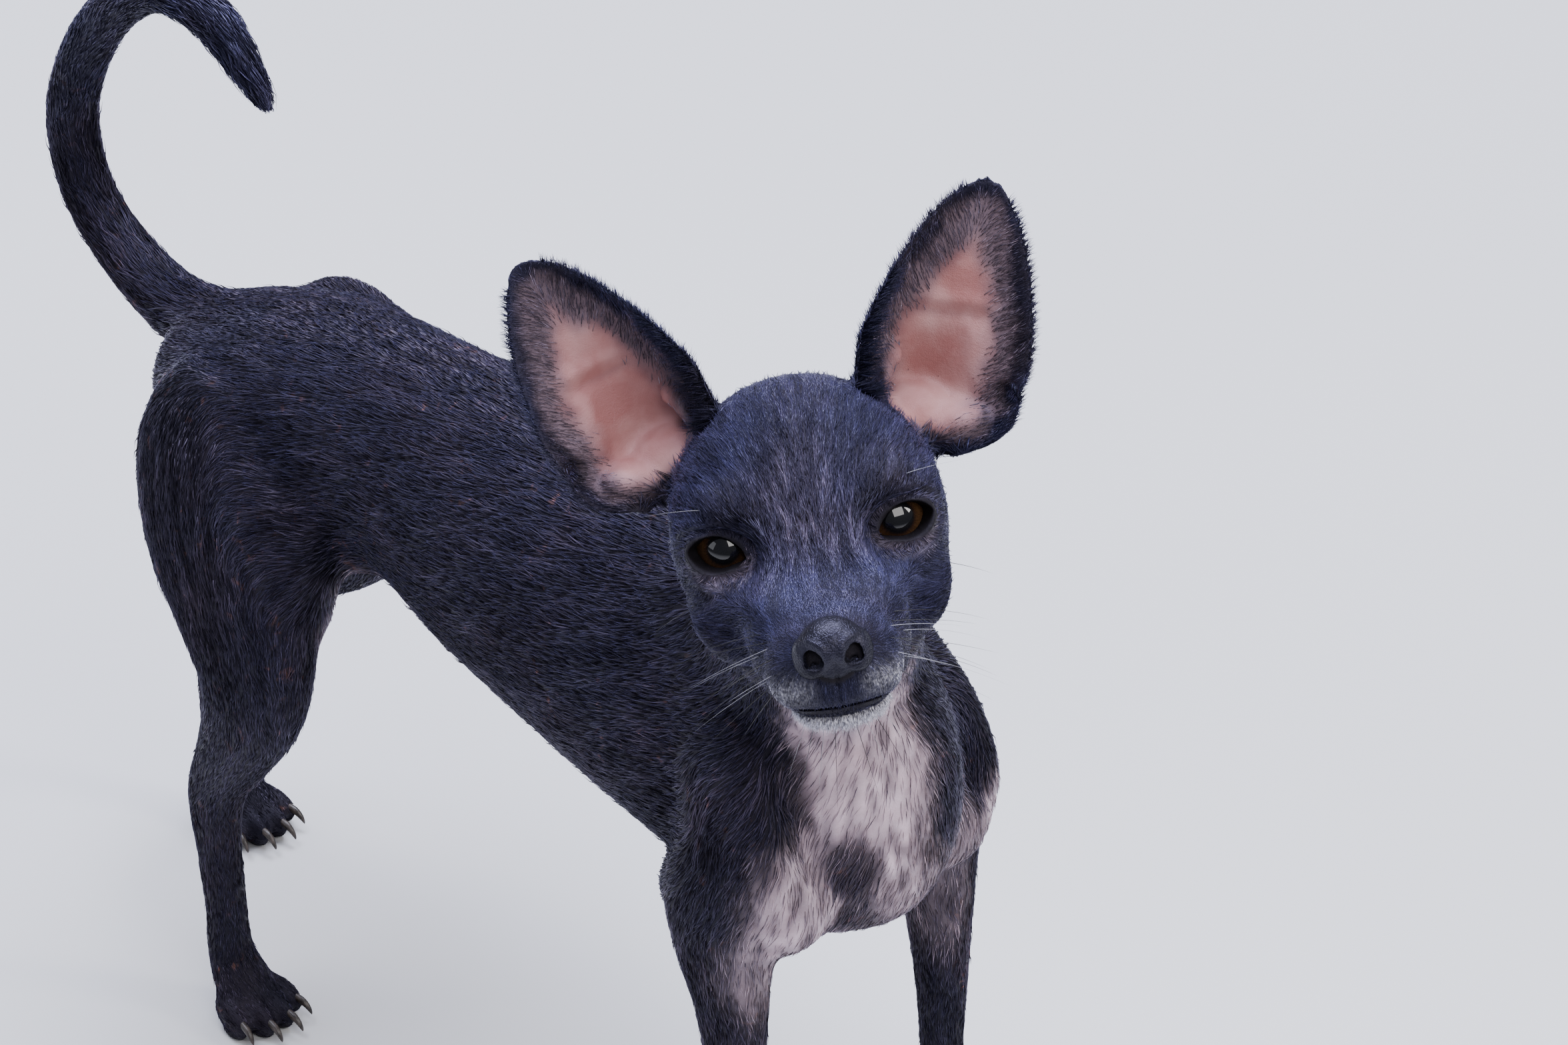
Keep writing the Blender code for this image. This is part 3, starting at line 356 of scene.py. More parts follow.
def ear_ways(side):
    """An ear's own ways: along it to the tip, and across it to the outer edge."""
    along = HEAD_UP * math.cos(EAR_LEAN) + HEAD_LEFT * side * math.sin(EAR_LEAN)
    across = HEAD_LEFT * side * math.cos(EAR_LEAN) - HEAD_UP * math.sin(EAR_LEAN)
    return along, across


def ear_cup(across, depth):
    """How far behind its rims an ear's blade is, where across runs from -1 to 1."""
    skewed = across + EAR_CUP_INWARD * (1.0 - across * across)
    return depth * np.maximum(0.0, 1.0 - np.abs(skewed) ** EAR_CUP_FLAT[0]) ** EAR_CUP_FLAT[1]


def ear_edges(along):
    """An ear's inner edge, outer edge, depth of cup and rim, at places along it."""
    return [np.interp(along, EAR_CURVE[:, 0], column) for column in EAR_CURVE.T[1:]]


def ear_place(points, side):
    """How far along and across an ear each point is, and its forward place in the head frame."""
    left, forward, up = head_place(points)
    out = side * left - EAR_ROOT[0]
    up = up - EAR_ROOT[1]
    along = out * math.sin(EAR_LEAN) + up * math.cos(EAR_LEAN)
    across = out * math.cos(EAR_LEAN) - up * math.sin(EAR_LEAN)
    return along, across, forward


def eye_place(side):
    return head_point(side * EYE_SIDE, EYE_BACK, 0.0)


def eye_axes(side):
    """Across, out of and up an eye's opening. Across points away from the nose."""
    sideways = HEAD_LEFT * side
    out = unit(HEAD_FORWARD * math.cos(EYE_OUTWARD) + sideways * math.sin(EYE_OUTWARD))
    across = sideways + HEAD_UP * math.sin(EYE_OPENING_TILT)
    across = unit(across - out * out.dot(across))
    up = unit(np.cross(across, out))
    return across, out, up if up.dot(HEAD_UP) > 0 else -up


def curve_through(stations, steps):
    """Rows of numbers read from a smooth curve through the given rows."""
    given = np.array(stations, float)
    last = len(given) - 1
    rows = []
    for i in range(last):
        p0, p1, p2, p3 = given[max(i - 1, 0)], given[i], given[i + 1], given[min(i + 2, last)]
        for k in range(steps):
            t = k / steps
            rows.append((2 * p1 + (p2 - p0) * t + (2 * p0 - 5 * p1 + 4 * p2 - p3) * t * t
                         + (3 * p1 - p0 - 3 * p2 + p3) * t ** 3) / 2)
    rows.append(given[last])
    return np.array(rows)


EAR_CURVE = curve_through(EAR_STATIONS, 6)


def mouth_line(steps, stations=len(MOUTH_LINE)):
    """The whole line of the mouth in the head frame, from the right corner to the left."""
    half = curve_through(MOUTH_LINE[:stations], steps)
    return np.concatenate((half[:0:-1] * (-1.0, 1.0, 1.0), half))


def flat_stations(stations, side=1.0):
    return [(side * place[0], place[1], place[2], *sizes) for place, *sizes in stations]


# Modelling steps

def only(*pieces):
    bpy.ops.object.select_all(action="DESELECT")
    for piece in pieces:
        piece.select_set(True)
    bpy.context.view_layer.objects.active = pieces[0]


def points_of(piece):
    flat = np.empty(len(piece.data.vertices) * 3, np.float32)
    piece.data.vertices.foreach_get("co", flat)
    return flat.reshape(-1, 3).astype(float)


def normals_of(piece):
    flat = np.empty(len(piece.data.vertices) * 3, np.float32)
    piece.data.vertices.foreach_get("normal", flat)
    return flat.reshape(-1, 3).astype(float)


def move_points(piece, points):
    piece.data.vertices.foreach_set("co", points.astype(np.float32).ravel())
    piece.data.update()


def face_outward(piece):
    """Turn every face of closed bodies to point out."""
    only(piece)
    bpy.ops.object.mode_set(mode="EDIT")
    bpy.ops.mesh.select_all(action="SELECT")
    bpy.ops.mesh.normals_make_consistent(inside=False)
    bpy.ops.object.mode_set(mode="OBJECT")


def pick_points(piece, wanted):
    """Go into edit mode with the wanted points selected, and nothing else."""
    only(piece)
    for parts in (piece.data.polygons, piece.data.edges):
        parts.foreach_set("select", np.zeros(len(parts), bool))
    piece.data.vertices.foreach_set("select", wanted)
    bpy.ops.object.mode_set(mode="EDIT")
    bpy.ops.mesh.select_mode(type="VERT")


def give_finish(piece, finish):
    """Shade a piece smooth, and give it its one material."""
    only(piece)
    bpy.ops.object.shade_smooth()
    piece.data.materials.clear()
    piece.data.materials.append(finish)


def named(piece, name):
    piece.name = name
    piece.data.name = name
    return piece


def linked(name, data):
    """A new object of the given data, in the scene."""
    item = bpy.data.objects.new(name, data)
    bpy.context.scene.collection.objects.link(item)
    return item


def modify(piece, kind, **values):
    """Put a modifier on a piece and apply it."""
    only(piece)
    step = piece.modifiers.new(kind.lower(), kind)
    for name, value in values.items():
        setattr(step, name, value)
    bpy.ops.object.modifier_apply(modifier=step.name)


def ball(place, radii, turn=None, fine=4):
    bpy.ops.object.select_all(action="DESELECT")
    bpy.ops.mesh.primitive_ico_sphere_add(subdivisions=fine, radius=1.0, location=place)
    piece = bpy.context.object
    piece.scale = radii
    if turn is not None:
        piece.rotation_euler = turn.to_euler()
    bpy.ops.object.transform_apply(location=True, rotation=True, scale=True)
    return piece


def axes_turn(across, along, up):
    return Matrix([list(across), list(along), list(up)]).transposed()


def head_ball(place, radii, fine=4):
    turn = axes_turn(HEAD_LEFT, HEAD_FORWARD, HEAD_UP)
    return ball(head_point(*place), radii, turn, fine)


def round_ball(columns, rows):
    """A ball of radius 1, with its faces put in one order, as Blender's own changes in each run."""
    bpy.ops.object.select_all(action="DESELECT")
    bpy.ops.mesh.primitive_uv_sphere_add(segments=columns, ring_count=rows, radius=1.0)
    piece = bpy.context.object
    mesh = piece.data
    faces = sorted((tuple(face.vertices), tuple(face.loop_indices)) for face in mesh.polygons)
    flat = np.empty(len(mesh.loops) * 2, np.float32)
    mesh.uv_layers.active.data.foreach_get("uv", flat)
    order = [corner for _, corners in faces for corner in corners]
    points = [tuple(point.co) for point in mesh.vertices]
    mesh.clear_geometry()
    mesh.from_pydata(points, [], [corners for corners, _ in faces])
    layer = mesh.uv_layers.new(name="UVMap")
    layer.data.foreach_set("uv", flat.reshape(-1, 2)[order].ravel())
    return piece


def laid_ball(rings):
    """A ball whose rings of points are laid on the given ones, with its poles on their middles."""
    rings = np.array(rings)
    count = rings.shape[1]
    piece = round_ball(count, len(rings) + 1)
    x, y, z = points_of(piece).T
    row = np.rint(np.arccos(np.clip(z, -1, 1)) / math.pi * (len(rings) + 1)).astype(int)
    column = np.rint(np.arctan2(y, x) / (2 * math.pi) * count).astype(int) % count
    first = np.repeat(rings[:1].mean(axis=1, keepdims=True), count, axis=1)
    final = np.repeat(rings[-1:].mean(axis=1, keepdims=True), count, axis=1)
    grid = np.concatenate((first, rings, final))
    move_points(piece, grid[row, column])
    face_outward(piece)
    return piece


def round_angles(count):
    return np.arange(count) * 2 * math.pi / count


def egg_ring(centre, across, up, half_width, rise, drop, count=36):
    angle = round_angles(count)
    height = np.sin(angle) * np.where(np.sin(angle) > 0, rise, drop)
    return centre + np.outer(np.cos(angle) * half_width, across) + np.outer(height, up)


def limb(stations, side=1.0, steps=3):
    """A limb, neck or tail with oval sections square to its own middle line."""
    rows = curve_through(flat_stations(stations, side), steps)
    rings = []
    for i, row in enumerate(rows):
        along = rows[min(i + 1, len(rows) - 1)][:3] - rows[max(i - 1, 0)][:3]
        deep_way = unit(np.cross(along, ACROSS))
        wide_way = unit(np.cross(deep_way, along))
        deep = row[4] if len(row) > 4 else row[3]
        rings.append(egg_ring(row[:3], wide_way, deep_way, row[3], deep, deep, 24))
    return laid_ball(rings)


def join(pieces, name):
    only(*pieces)
    bpy.ops.object.join()
    piece = named(bpy.context.object, name)
    face_outward(piece)
    return piece


def soften(piece, steps, **values):
    """Smooth a piece, over all or where a vertex group says."""
    modify(piece, "SMOOTH", factor=0.5, iterations=steps, **values)


def even_out(piece, voxel, steps):
    """Give a closed piece one even surface, and smooth it."""
    modify(piece, "REMESH", mode="VOXEL", voxel_size=voxel)
    soften(piece, steps)
    return piece


def fuse(pieces, name, voxel, steps):
    """Join overlapping closed forms into one even surface, and blend its creases."""
    return even_out(join(pieces, name), voxel, steps)


def thin_to(piece, wanted, **values):
    """Bring a piece down to about the wanted number of triangles."""
    triangles = len(piece.data.loops) - 2 * len(piece.data.polygons)
    modify(piece, "DECIMATE", ratio=wanted / triangles, **values)


def cut(piece, cutters):
    """Cut closed bodies out of a piece."""
    group = bpy.data.collections.new("cutters")
    for cutter in cutters:
        group.objects.link(cutter)
    modify(piece, "BOOLEAN", operation="DIFFERENCE", operand_type="COLLECTION",
           collection=group, solver="MANIFOLD")
    for cutter in cutters:
        bpy.data.objects.remove(cutter, do_unlink=True)
    bpy.data.collections.remove(group)


def weigh(piece, name, weights):
    """A vertex group that holds the points with a weight over nought, in ten steps."""
    group = piece.vertex_groups.new(name=name)
    level = np.rint(np.clip(weights, 0, 1) * 10).astype(int)
    for step in range(1, 11):
        group.add([int(i) for i in np.nonzero(level == step)[0]], step / 10, "REPLACE")
    return group.name


def step_between(values, low, high):
    """A smooth step from 0 at low to 1 at high."""
    t = np.clip((values - low) / (high - low), 0.0, 1.0)
    return t * t * (3 - 2 * t)


def before(values, low, high):
    """A smooth step from 1 at low to 0 at high."""
    return 1 - step_between(values, low, high)


def hump(values, middle, spread):
    """A smooth rise to 1 at the middle."""
    return np.exp(-((values - middle) / spread) ** 2)


# Body, head and paws as rounded forms

def body_form():
    rings = []
    for y, level, wide, rise, drop in curve_through(BODY_STATIONS, 3):
        rings.append(egg_ring(np.array((0.0, y, level)), ACROSS, UPWARD, wide, rise, drop))
    forms = [laid_ball(rings), limb(NECK_STATIONS), limb(TAIL)]
    for side in SIDES:
        back_leg, hock = (HIND_LEG_LEFT, HOCK_LEFT) if side > 0 else (HIND_LEG_RIGHT, HOCK_RIGHT)
        forms.append(limb(FORELEG, side))
        forms.append(limb(back_leg, side))
        points = [(*form, 0.0) for form in (ELBOW, hock)]
        for (x, y, z), radii, degrees, set_back in (*points, *BODY_SIDE_FORMS.values()):
            turn = Matrix.Rotation(math.radians(degrees), 3, "X")
            y += set_back if side > 0 else 0.0
            forms.append(ball((side * x, y, z), radii, turn))
    return fuse(forms, "body form", BODY_VOXEL, BODY_SMOOTHING)


def head_form():
    rings = []
    for forward, level, wide, rise, drop in curve_through(SKULL_STATIONS, 3):
        middle = head_point(0.0, forward, level)
        rings.append(egg_ring(middle, HEAD_LEFT, HEAD_UP, wide, rise, drop))
    jaw = []
    for forward, level, wide, high in curve_through(LOWER_JAW, 3):
        jaw.append(egg_ring(head_point(0.0, forward, level), HEAD_LEFT, HEAD_UP, wide, high, high))
    forms = [laid_ball(rings), laid_ball(jaw), limb(NECK_STATIONS)]
    hollows = []
    for side in SIDES:
        for (left, forward, up), radii in HEAD_SIDE_FORMS.values():
            forms.append(head_ball((side * left, forward, up), radii))
        (left, forward, up), radii = ORBIT
        hollows.append(head_ball((side * left, forward, up), radii))
    head = fuse(forms, "head form", HEAD_VOXEL, 0)
    cut(head, hollows)
    return even_out(head, HEAD_VOXEL, HEAD_SMOOTHING)


def ear_blade(side):
    """The cupped blade of an ear: a grid laid on its stations and given a wall."""
    rows = EAR_CURVE
    bpy.ops.object.select_all(action="DESELECT")
    bpy.ops.mesh.primitive_grid_add(x_subdivisions=EAR_COLUMNS, y_subdivisions=len(rows) - 1, size=2.0)
    blade = bpy.context.object
    x, y, _ = points_of(blade).T
    along, inner, outer, depth, rim = rows[np.rint((y + 1) / 2 * (len(rows) - 1)).astype(int)].T
    across = inner + (outer - inner) * (x + 1.0) / 2.0
    move_points(blade, ear_point(side, along, across, ear_cup(x, depth), rim))
    modify(blade, "SOLIDIFY", thickness=EAR_THICKNESS, offset=0.0)
    return blade


def toe_lean(across):
    return math.copysign(TOE_SPLAY, across) * min(1.0, abs(across) / TOES[-1][0])


def paw_form(name):
    """Four toes with their pads, the heel pad and the back of the foot."""
    place, size, leg, side = PAWS[name]
    ground = np.array((*place, 0.0))
    forms = []
    for across, ahead in TOES:
        turn = Matrix.Rotation(toe_lean(across), 3, "Z") @ Matrix.Rotation(TOE_DIP, 3, "X")
        spot = ground + np.array((across, -ahead, TOE_LEVEL)) * size
        forms.append(ball(spot, [r * size for r in TOE_RADII], turn))
        spot = ground + np.array((across, -ahead - 0.0010, 0.0016)) * size
        forms.append(ball(spot, [r * size for r in TOE_PAD], turn, 3))
    forms.append(ball(ground + np.array((0.0, 0.0016, 0.0019)) * size,
                      [r * size for r in HEEL_PAD], None, 3))
    forms.append(ball(ground + np.array(PALM[0]) * size, [r * size for r in PALM[1]]))
    arch = []
    for height, back, wide, deep in PAW_ARCH:
        arch.append((ground + np.array((0.0, back, height)) * size, wide * size, deep * size))
    for (x, y, z), wide, deep in reversed(leg[-3:]):
        arch.append(((side * x, y, z), wide, deep))
    forms.append(limb(arch))
    return fuse(forms, name + " form", PAW_VOXEL, 5)


def eye_opening(side):
    """An almond that opens the lids in front of the eyeball, wider toward the outside."""
    across, out, up = eye_axes(side)
    angle = round_angles(40)
    high = EYE_OPENING[1] * np.sin(angle) * np.abs(np.sin(angle)) ** 0.3
    wide = EYE_OPENING[0] * np.cos(angle)
    nearer = step_between(-np.cos(angle), 0.55, 1.0)
    wide = wide - 0.0010 * nearer
    high = high - 0.0005 * nearer
    rings = []
    for reach, wider, higher in EYE_OPENING_FLARE:
        middle = eye_place(side) + out * reach
        rings.append(middle + np.outer(wide * wider, across) + np.outer(high * higher, up))
    return laid_ball(rings)


def mouth_groove():
    """A thin wedge along the meeting of the lips, from one corner to the other."""
    line = mouth_line(5)
    last = len(line) - 1
    rings = []
    for i, (left, forward, up) in enumerate(line):
        lower = line[max(i - 1, 0)]
        upper = line[min(i + 1, last)]
        out = unit((upper[1] - lower[1], lower[0] - upper[0], 0.0))
        if out.dot((left, forward - MOUTH_CENTRE, 0.0)) < 0:
            out = -out
        fade = 0.4 + 0.6 * min(1.0, (last - i) / 5.0, i / 5.0)
        ring = []
        for reach, level in ((MOUTH_REACH, 1.0), (-MOUTH_DEPTH * fade, 0.3),
                             (-MOUTH_DEPTH * fade, -0.3), (MOUTH_REACH, -1.0)):
            spot = np.array((left, forward, up + level * MOUTH_OPEN / 2)) + out * reach
            ring.append(head_point(*spot))
        rings.append(ring)
    return laid_ball(rings)


def refine_face(skin):
    """Halve the faces of the muzzle, lids, lips and ears."""
    points = points_of(skin)
    left, forward, up = head_place(points)
    wanted = (forward > -0.008) & (forward < 0.055) & (np.abs(left) < 0.032) & (np.abs(up) < 0.042)
    for side in SIDES:
        wanted |= ear_masks(points, side)[0] > 0.3
    pick_points(skin, wanted)
    bpy.ops.mesh.subdivide(number_cuts=1, smoothness=0.0)
    bpy.ops.object.mode_set(mode="OBJECT")


def make_skin_form():
    """The whole body as one even surface."""
    pieces = [body_form(), head_form()]
    knob_turn = axes_turn(HEAD_LEFT, HEAD_FORWARD, HEAD_UP)
    for side in SIDES:
        pieces.append(ear_blade(side))
        for place, radii in EAR_KNOBS:
            pieces.append(ball(ear_point(side, *place), radii, knob_turn, 3))
        pieces.append(ball(eye_place(side), LID_RADII, axes_turn(*eye_axes(side))))
    pieces += [paw_form(name) for name in PAWS]
    return fuse(pieces, "skin", SKIN_VOXEL, 3)


# Where things lie on the dog

def ear_fit(points, side):
    """How far along an ear and across it (-1 to 1) points are, how far before its blade, and
    half the blade's width there."""
    along, across, forward = ear_place(points, side)
    inner, outer, depth, rim = ear_edges(along)
    x = (2 * across - inner - outer) / (outer - inner)
    return along, x, forward - rim + ear_cup(x, depth), (outer - inner) / 2


def ear_masks(points, side):
    """Masks of an ear and its inner side, the distance in from its rim, and the ear's fit."""
    along, x, off, half = ear_fit(points, side)
    on = step_between(along, -0.0060, -0.0010) * before(along, 0.0525, 0.0550)
    mouth = before(along, 0.0080, 0.0140) * before(np.abs(x - 0.1), 0.55, 0.85)
    far = 0.0035 + 0.0095 * mouth * (off > 0)
    on = on * before(np.abs(x), 1.12, 1.30) * before(np.abs(off), far, far + 0.0020)
    inside = on * step_between(off, -0.0002, 0.0007)
    edge = np.minimum((1 - np.abs(x)) * half, EAR_CURVE[-1, 0] - along)
    return on, inside, edge, along, x


def eye_spot(points, side):
    """Where points are in an eye's own frame: across, out of and up its opening."""
    away = points - eye_place(side)
    return [away @ axis for axis in eye_axes(side)]


def line_fit(line, points):
    """The gap from points to a line of points, its way there, how far along and its middle."""
    line = np.asarray(line, float)
    gap = np.full(len(points), np.inf)
    way = np.zeros((len(points), 3))
    along = np.zeros(len(points))
    middle = np.zeros((len(points), 3))
    done = 0.0
    for a, b in zip(line[:-1], line[1:]):
        span = b - a
        long = np.linalg.norm(span)
        t = np.clip((points - a) @ span / long ** 2, 0, 1)
        spot = a + np.outer(t, span)
        away = np.linalg.norm(points - spot, axis=1)
        nearer = away < gap
        gap[nearer] = away[nearer]
        way[nearer] = span / long
        along[nearer] = done + t[nearer] * long
        middle[nearer] = spot[nearer]
        done += long
    return gap, way, along, middle


def leg_line(paw):
    (x, y), _, leg, side = PAWS[paw]
    rows = [(side * place[0], *place[1:], wide) for place, wide, _ in leg[1:]]
    rows.append((x, y - 0.0020, 0.0075, 0.0075))
    rows.append((x, y - 0.0165, 0.0040, 0.0060))
    return rows


# Middle line of the head, from the nose back: (forward, up, radius)
HEAD_MIDDLE = (
    (0.0440, -0.0190, 0.0100),
    (0.0300, -0.0180, 0.0130),
    (0.0140, -0.0130, 0.0180),
    (0.0000, -0.0040, 0.0260),
    (-0.0200, -0.0010, 0.0300),
    (-0.0400, -0.0020, 0.0250),
    (-0.0520, -0.0080, 0.0150),
)


def coat_lines():
    """The dog's lines of hair: name, rows of (x, y, z, radius) that run with the hair, and up."""
    head = [(*head_point(0.0, forward, up), radius) for forward, up, radius in HEAD_MIDDLE]
    neck = [(*place, wide) for place, wide, _ in reversed(NECK_STATIONS)]
    trunk = [(0.0, y, level, (wide + rise) / 2)
             for y, level, wide, rise, _ in reversed(BODY_STATIONS[1:-1])]
    tail = [(*place, thick) for place, thick in TAIL]
    lines = [("head", head, HEAD_UP), ("neck", neck, (0.0, 1.0, 0.5)), ("trunk", trunk, UPWARD),
             ("tail", tail, (0.0, -1.0, 1.0))]
    for hand in ("right", "left"):
        for limb_name in ("fore", "hind"):
            paw = f"{limb_name}paw_{hand}"
            lines.append((f"{limb_name}leg_{hand}", leg_line(paw), (PAWS[paw][3], 0.0, 0.0)))
    return lines


LINES = coat_lines()
REGIONS = [name for name, _, _ in LINES] + ["ear_right", "ear_left"]
# Each region's own rectangle of the unwrap: left, bottom, width, height
UNWRAP = {
    "head": (0.01, 0.56, 0.47, 0.43), "neck": (0.50, 0.56, 0.20, 0.43),
    "trunk": (0.01, 0.01, 0.40, 0.53), "tail": (0.43, 0.01, 0.08, 0.53),
    "foreleg_right": (0.53, 0.01, 0.10, 0.53), "foreleg_left": (0.65, 0.01, 0.10, 0.53),
    "hindleg_right": (0.77, 0.01, 0.10, 0.53), "hindleg_left": (0.89, 0.01, 0.10, 0.53),
    "ear_right": (0.72, 0.56, 0.12, 0.43), "ear_left": (0.86, 0.56, 0.12, 0.43),
}
STOP = (0.0, 0.0150, -0.0040)       # the step between forehead and muzzle, in the head frame
HANG = 0.28                         # how far hair hangs down on the head, neck and trunk
CHEST_HANG = 1.6                    # and how much further on the front of the chest


def follow_lines(points):
    """Each line of hair at points: its share there, its way, and how far round and along it is."""
    shares, ways, round_it, along_it = [], [], [], []
    for _, line, up in LINES:
        line = curve_through(line, 2)
        gap, way, along, middle = line_fit(line[:, :3], points)
        steps = np.linalg.norm(np.diff(line[:, :3], axis=0), axis=1)
        reach = np.concatenate(((0.0,), np.cumsum(steps)))
        shares.append((gap / np.interp(along, reach, line[:, 3])) ** -7)
        ways.append(way)
        across = unit(np.cross(way, np.asarray(up, float)))
        rise = np.cross(across, way)
        away = points - middle
        turn = np.arctan2((away * across).sum(axis=1), (away * rise).sum(axis=1))
        round_it.append(turn / (2 * math.pi) + 0.5)
        along_it.append(along / reach[-1])
    shares = np.array(shares)
    return shares / shares.sum(axis=0), ways, round_it, along_it


def head_lie(points, lie, on_head, head):
    """Turn the lie on the head: it fans out from the stop, down the lips and away from the eyes."""
    _, forward, up = head
    fan = on_head * step_between(up + forward * 0.4, -0.004, 0.008)
    fan = fan * step_between(-forward, -0.018, 0.0) * before(-forward, 0.022, 0.040)
    lie = lie + unit(points - head_point(*STOP)) * (fan * 1.1)[:, None]
    lips = on_head * step_between(forward, 0.012, 0.030) * step_between(-up, 0.016, 0.026)
    lie = lie - np.outer(lips * 1.2, HEAD_UP)
    for side in SIDES:
        across, out, rise = eye_spot(points, side)
        near = np.exp(-((across / 0.012) ** 2 + (rise / 0.010) ** 2)) * (out > 0)
        axes = eye_axes(side)
        away = unit(np.outer(across, axes[0]) + np.outer(rise, axes[2]))
        lie = lie + away * (near * 1.8)[:, None]
    return lie


def describe(points, normals):
    """All that the coat follows at points on the skin: the share of each region, the way the
    hair lies, and the place on the unwrap."""
    shares, ways, round_it, along_it = follow_lines(points)
    lie = sum(share[:, None] * way for share, way in zip(shares, ways))
    share = dict(zip(REGIONS, shares))
    legs = sum(share[name] for name in REGIONS if "leg" in name)
    front = share["trunk"] * step_between(-points[:, 1], 0.080, 0.108)
    lie = lie - np.outer((share["head"] + share["neck"] + share["trunk"]) * HANG, UPWARD)
    lie = lie - np.outer(front * CHEST_HANG, UPWARD)
    head = head_place(points)
    lie = head_lie(points, lie, share["head"], head)

    ear_round, ear_along, on_ears, in_ears, edges, alongs = [], [], [], [], [], []
    for side in SIDES:
        on, inside, edge, along, x = ear_masks(points, side)
        up_way, out_way = (unit(way) for way in ear_ways(side))
        to_tip = up_way[None, :] + np.outer(x * 0.35, out_way)
        from_middle = up_way[None, :] * 0.8 + np.outer(np.sign(x) * np.abs(x) ** 0.6 * 1.3, out_way)
        way = to_tip * (1 - inside)[:, None] + from_middle * inside[:, None]
        lie = lie * (1 - on)[:, None] + way * on[:, None]
        ear_round.append(np.where(inside > 0.5, 0.75, 0.25) + np.clip(x, -1, 1) * 0.24)
        ear_along.append(np.clip((along + 0.007) / 0.059, 0, 1))
        on_ears.append(on)
        in_ears.append(inside)
        edges.append(edge)
        alongs.append(along)
    on_ears, in_ears = np.array(on_ears), np.array(in_ears)
    region = np.argmax(np.concatenate((shares * (1 - on_ears.max(axis=0)), on_ears)), axis=0)
    round_it, along_it = np.array(round_it + ear_round), np.array(along_it + ear_along)
    pick = (region, np.arange(len(points)))
    corners = np.array([UNWRAP[name] for name in REGIONS])[region]
    place = np.stack((round_it[pick], along_it[pick]), axis=1)
    lie = lie - normals * (lie * normals).sum(axis=1, keepdims=True)
    edge = np.where(on_ears[0] > on_ears[1], edges[0], edges[1])
    along_ear = np.where(on_ears[0] > on_ears[1], alongs[0], alongs[1])
    return {
        "share": share, "legs": legs, "lie": unit(lie), "region": region,
        "unwrap": corners[:, :2] + place * corners[:, 2:], "place": place,
        "on ear": on_ears.max(axis=0), "in ear": in_ears.max(axis=0), "edge": edge,
        "along ear": along_ear,
        "head": head,
    }


# Middle line of the pale throat and breastbone
THROAT = ((-0.0330, -0.1330, 0.2050), (-0.0220, -0.1180, 0.1880), (-0.0125, -0.1110, 0.1730),
          (-0.0115, -0.1155, 0.1610), (-0.0130, -0.1170, 0.1500))
THROAT_HALF = 0.0165
# Thin coat over pale skin on the chest, forelegs and belly: (centre, radii, strength)
PALE_PATCHES = (
    ((-0.0125, -0.1170, 0.1480), (0.0080, 0.0120, 0.0100), 0.55),
    ((-0.0265, -0.1070, 0.1300), (0.0120, 0.0140, 0.0170), 0.85),
    ((-0.0330, -0.1000, 0.1130), (0.0075, 0.0140, 0.0150), 0.55),
    ((-0.0040, -0.1190, 0.1300), (0.0095, 0.0120, 0.0130), 0.75),
    ((0.0180, -0.1120, 0.1210), (0.0160, 0.0140, 0.0150), 0.62),
    ((0.0345, -0.1060, 0.1290), (0.0060, 0.0120, 0.0100), 0.85),
    ((0.0270, -0.0990, 0.1020), (0.0070, 0.0120, 0.0160), 0.34),
    ((0.0000, -0.0950, 0.1100), (0.0240, 0.0240, 0.0120), 0.60),
)
GROIN = ((0.0000, 0.0150, 0.1250), (0.0000, 0.0500, 0.1270), (0.0000, 0.0850, 0.1250))
GROIN_HALF = 0.0300
DARK_WEDGE = ((-0.0165, -0.1150, 0.1390), (0.0055, 0.0120, 0.0070))
POCKET = (0.0100, 0.86)         # the slit at the ear's outer edge: along it and across it
POCKET_RADIUS = 0.0021
NOSE_MIDDLE = head_point(0.0, 0.0445, -0.0175)


def near_patch(points, centre, radii, soft):
    """1 inside an egg-shaped patch, falling to 0 over its soft outer share."""
    return before(np.linalg.norm((points - centre) / radii, axis=1), 1.0 - soft, 1.0 + soft)


# Waves of the wander: the way each runs, and its shift
WANDER_WAVES = (
    ((1.0, 0.6, 0.8), 0.3),
    ((-0.7, 1.1, 0.9), 1.9),
    ((0.9, -1.0, 0.5), 4.1),
    ((-0.4, -0.8, 1.3), 2.6),
)


def wander(points, size):
    """A smooth irregular value between about -1 and 1 that changes over the given size."""
    bend = 1.3 * np.sin(points @ (260.0, -310.0, 190.0))
    value = np.zeros(len(points))
    for way, shift in WANDER_WAVES:
        value += np.sin(points @ np.array(way) * 4.0 / size + shift + bend)
    return value / 3.0


LATTICE_SIZE = 32
LATTICE = np.random.default_rng(73).random((LATTICE_SIZE,) * 3)


def grain(points, size):
    """A smooth random value from 0 to 1 that changes over the given size."""
    place = points / size
    corner = np.floor(place).astype(int)
    part = place - corner
    part = part * part * (3 - 2 * part)
    value = np.zeros(len(points))
    for step in np.ndindex(2, 2, 2):
        share = np.prod(np.where(step, part, 1 - part), axis=1)
        i, j, k = ((corner + step) % LATTICE_SIZE).T
        value += share * LATTICE[i, j, k]
    return value


def streaks(points, lie, size, reach):
    """A value between -1 and 1 in streaks of the given width, drawn out along the lie."""
    steps = np.linspace(-reach, reach, 7)
    value = sum(grain(points + lie * step, size) for step in steps) / len(steps)
    return np.clip((value - 0.5) * 7.0, -1, 1)


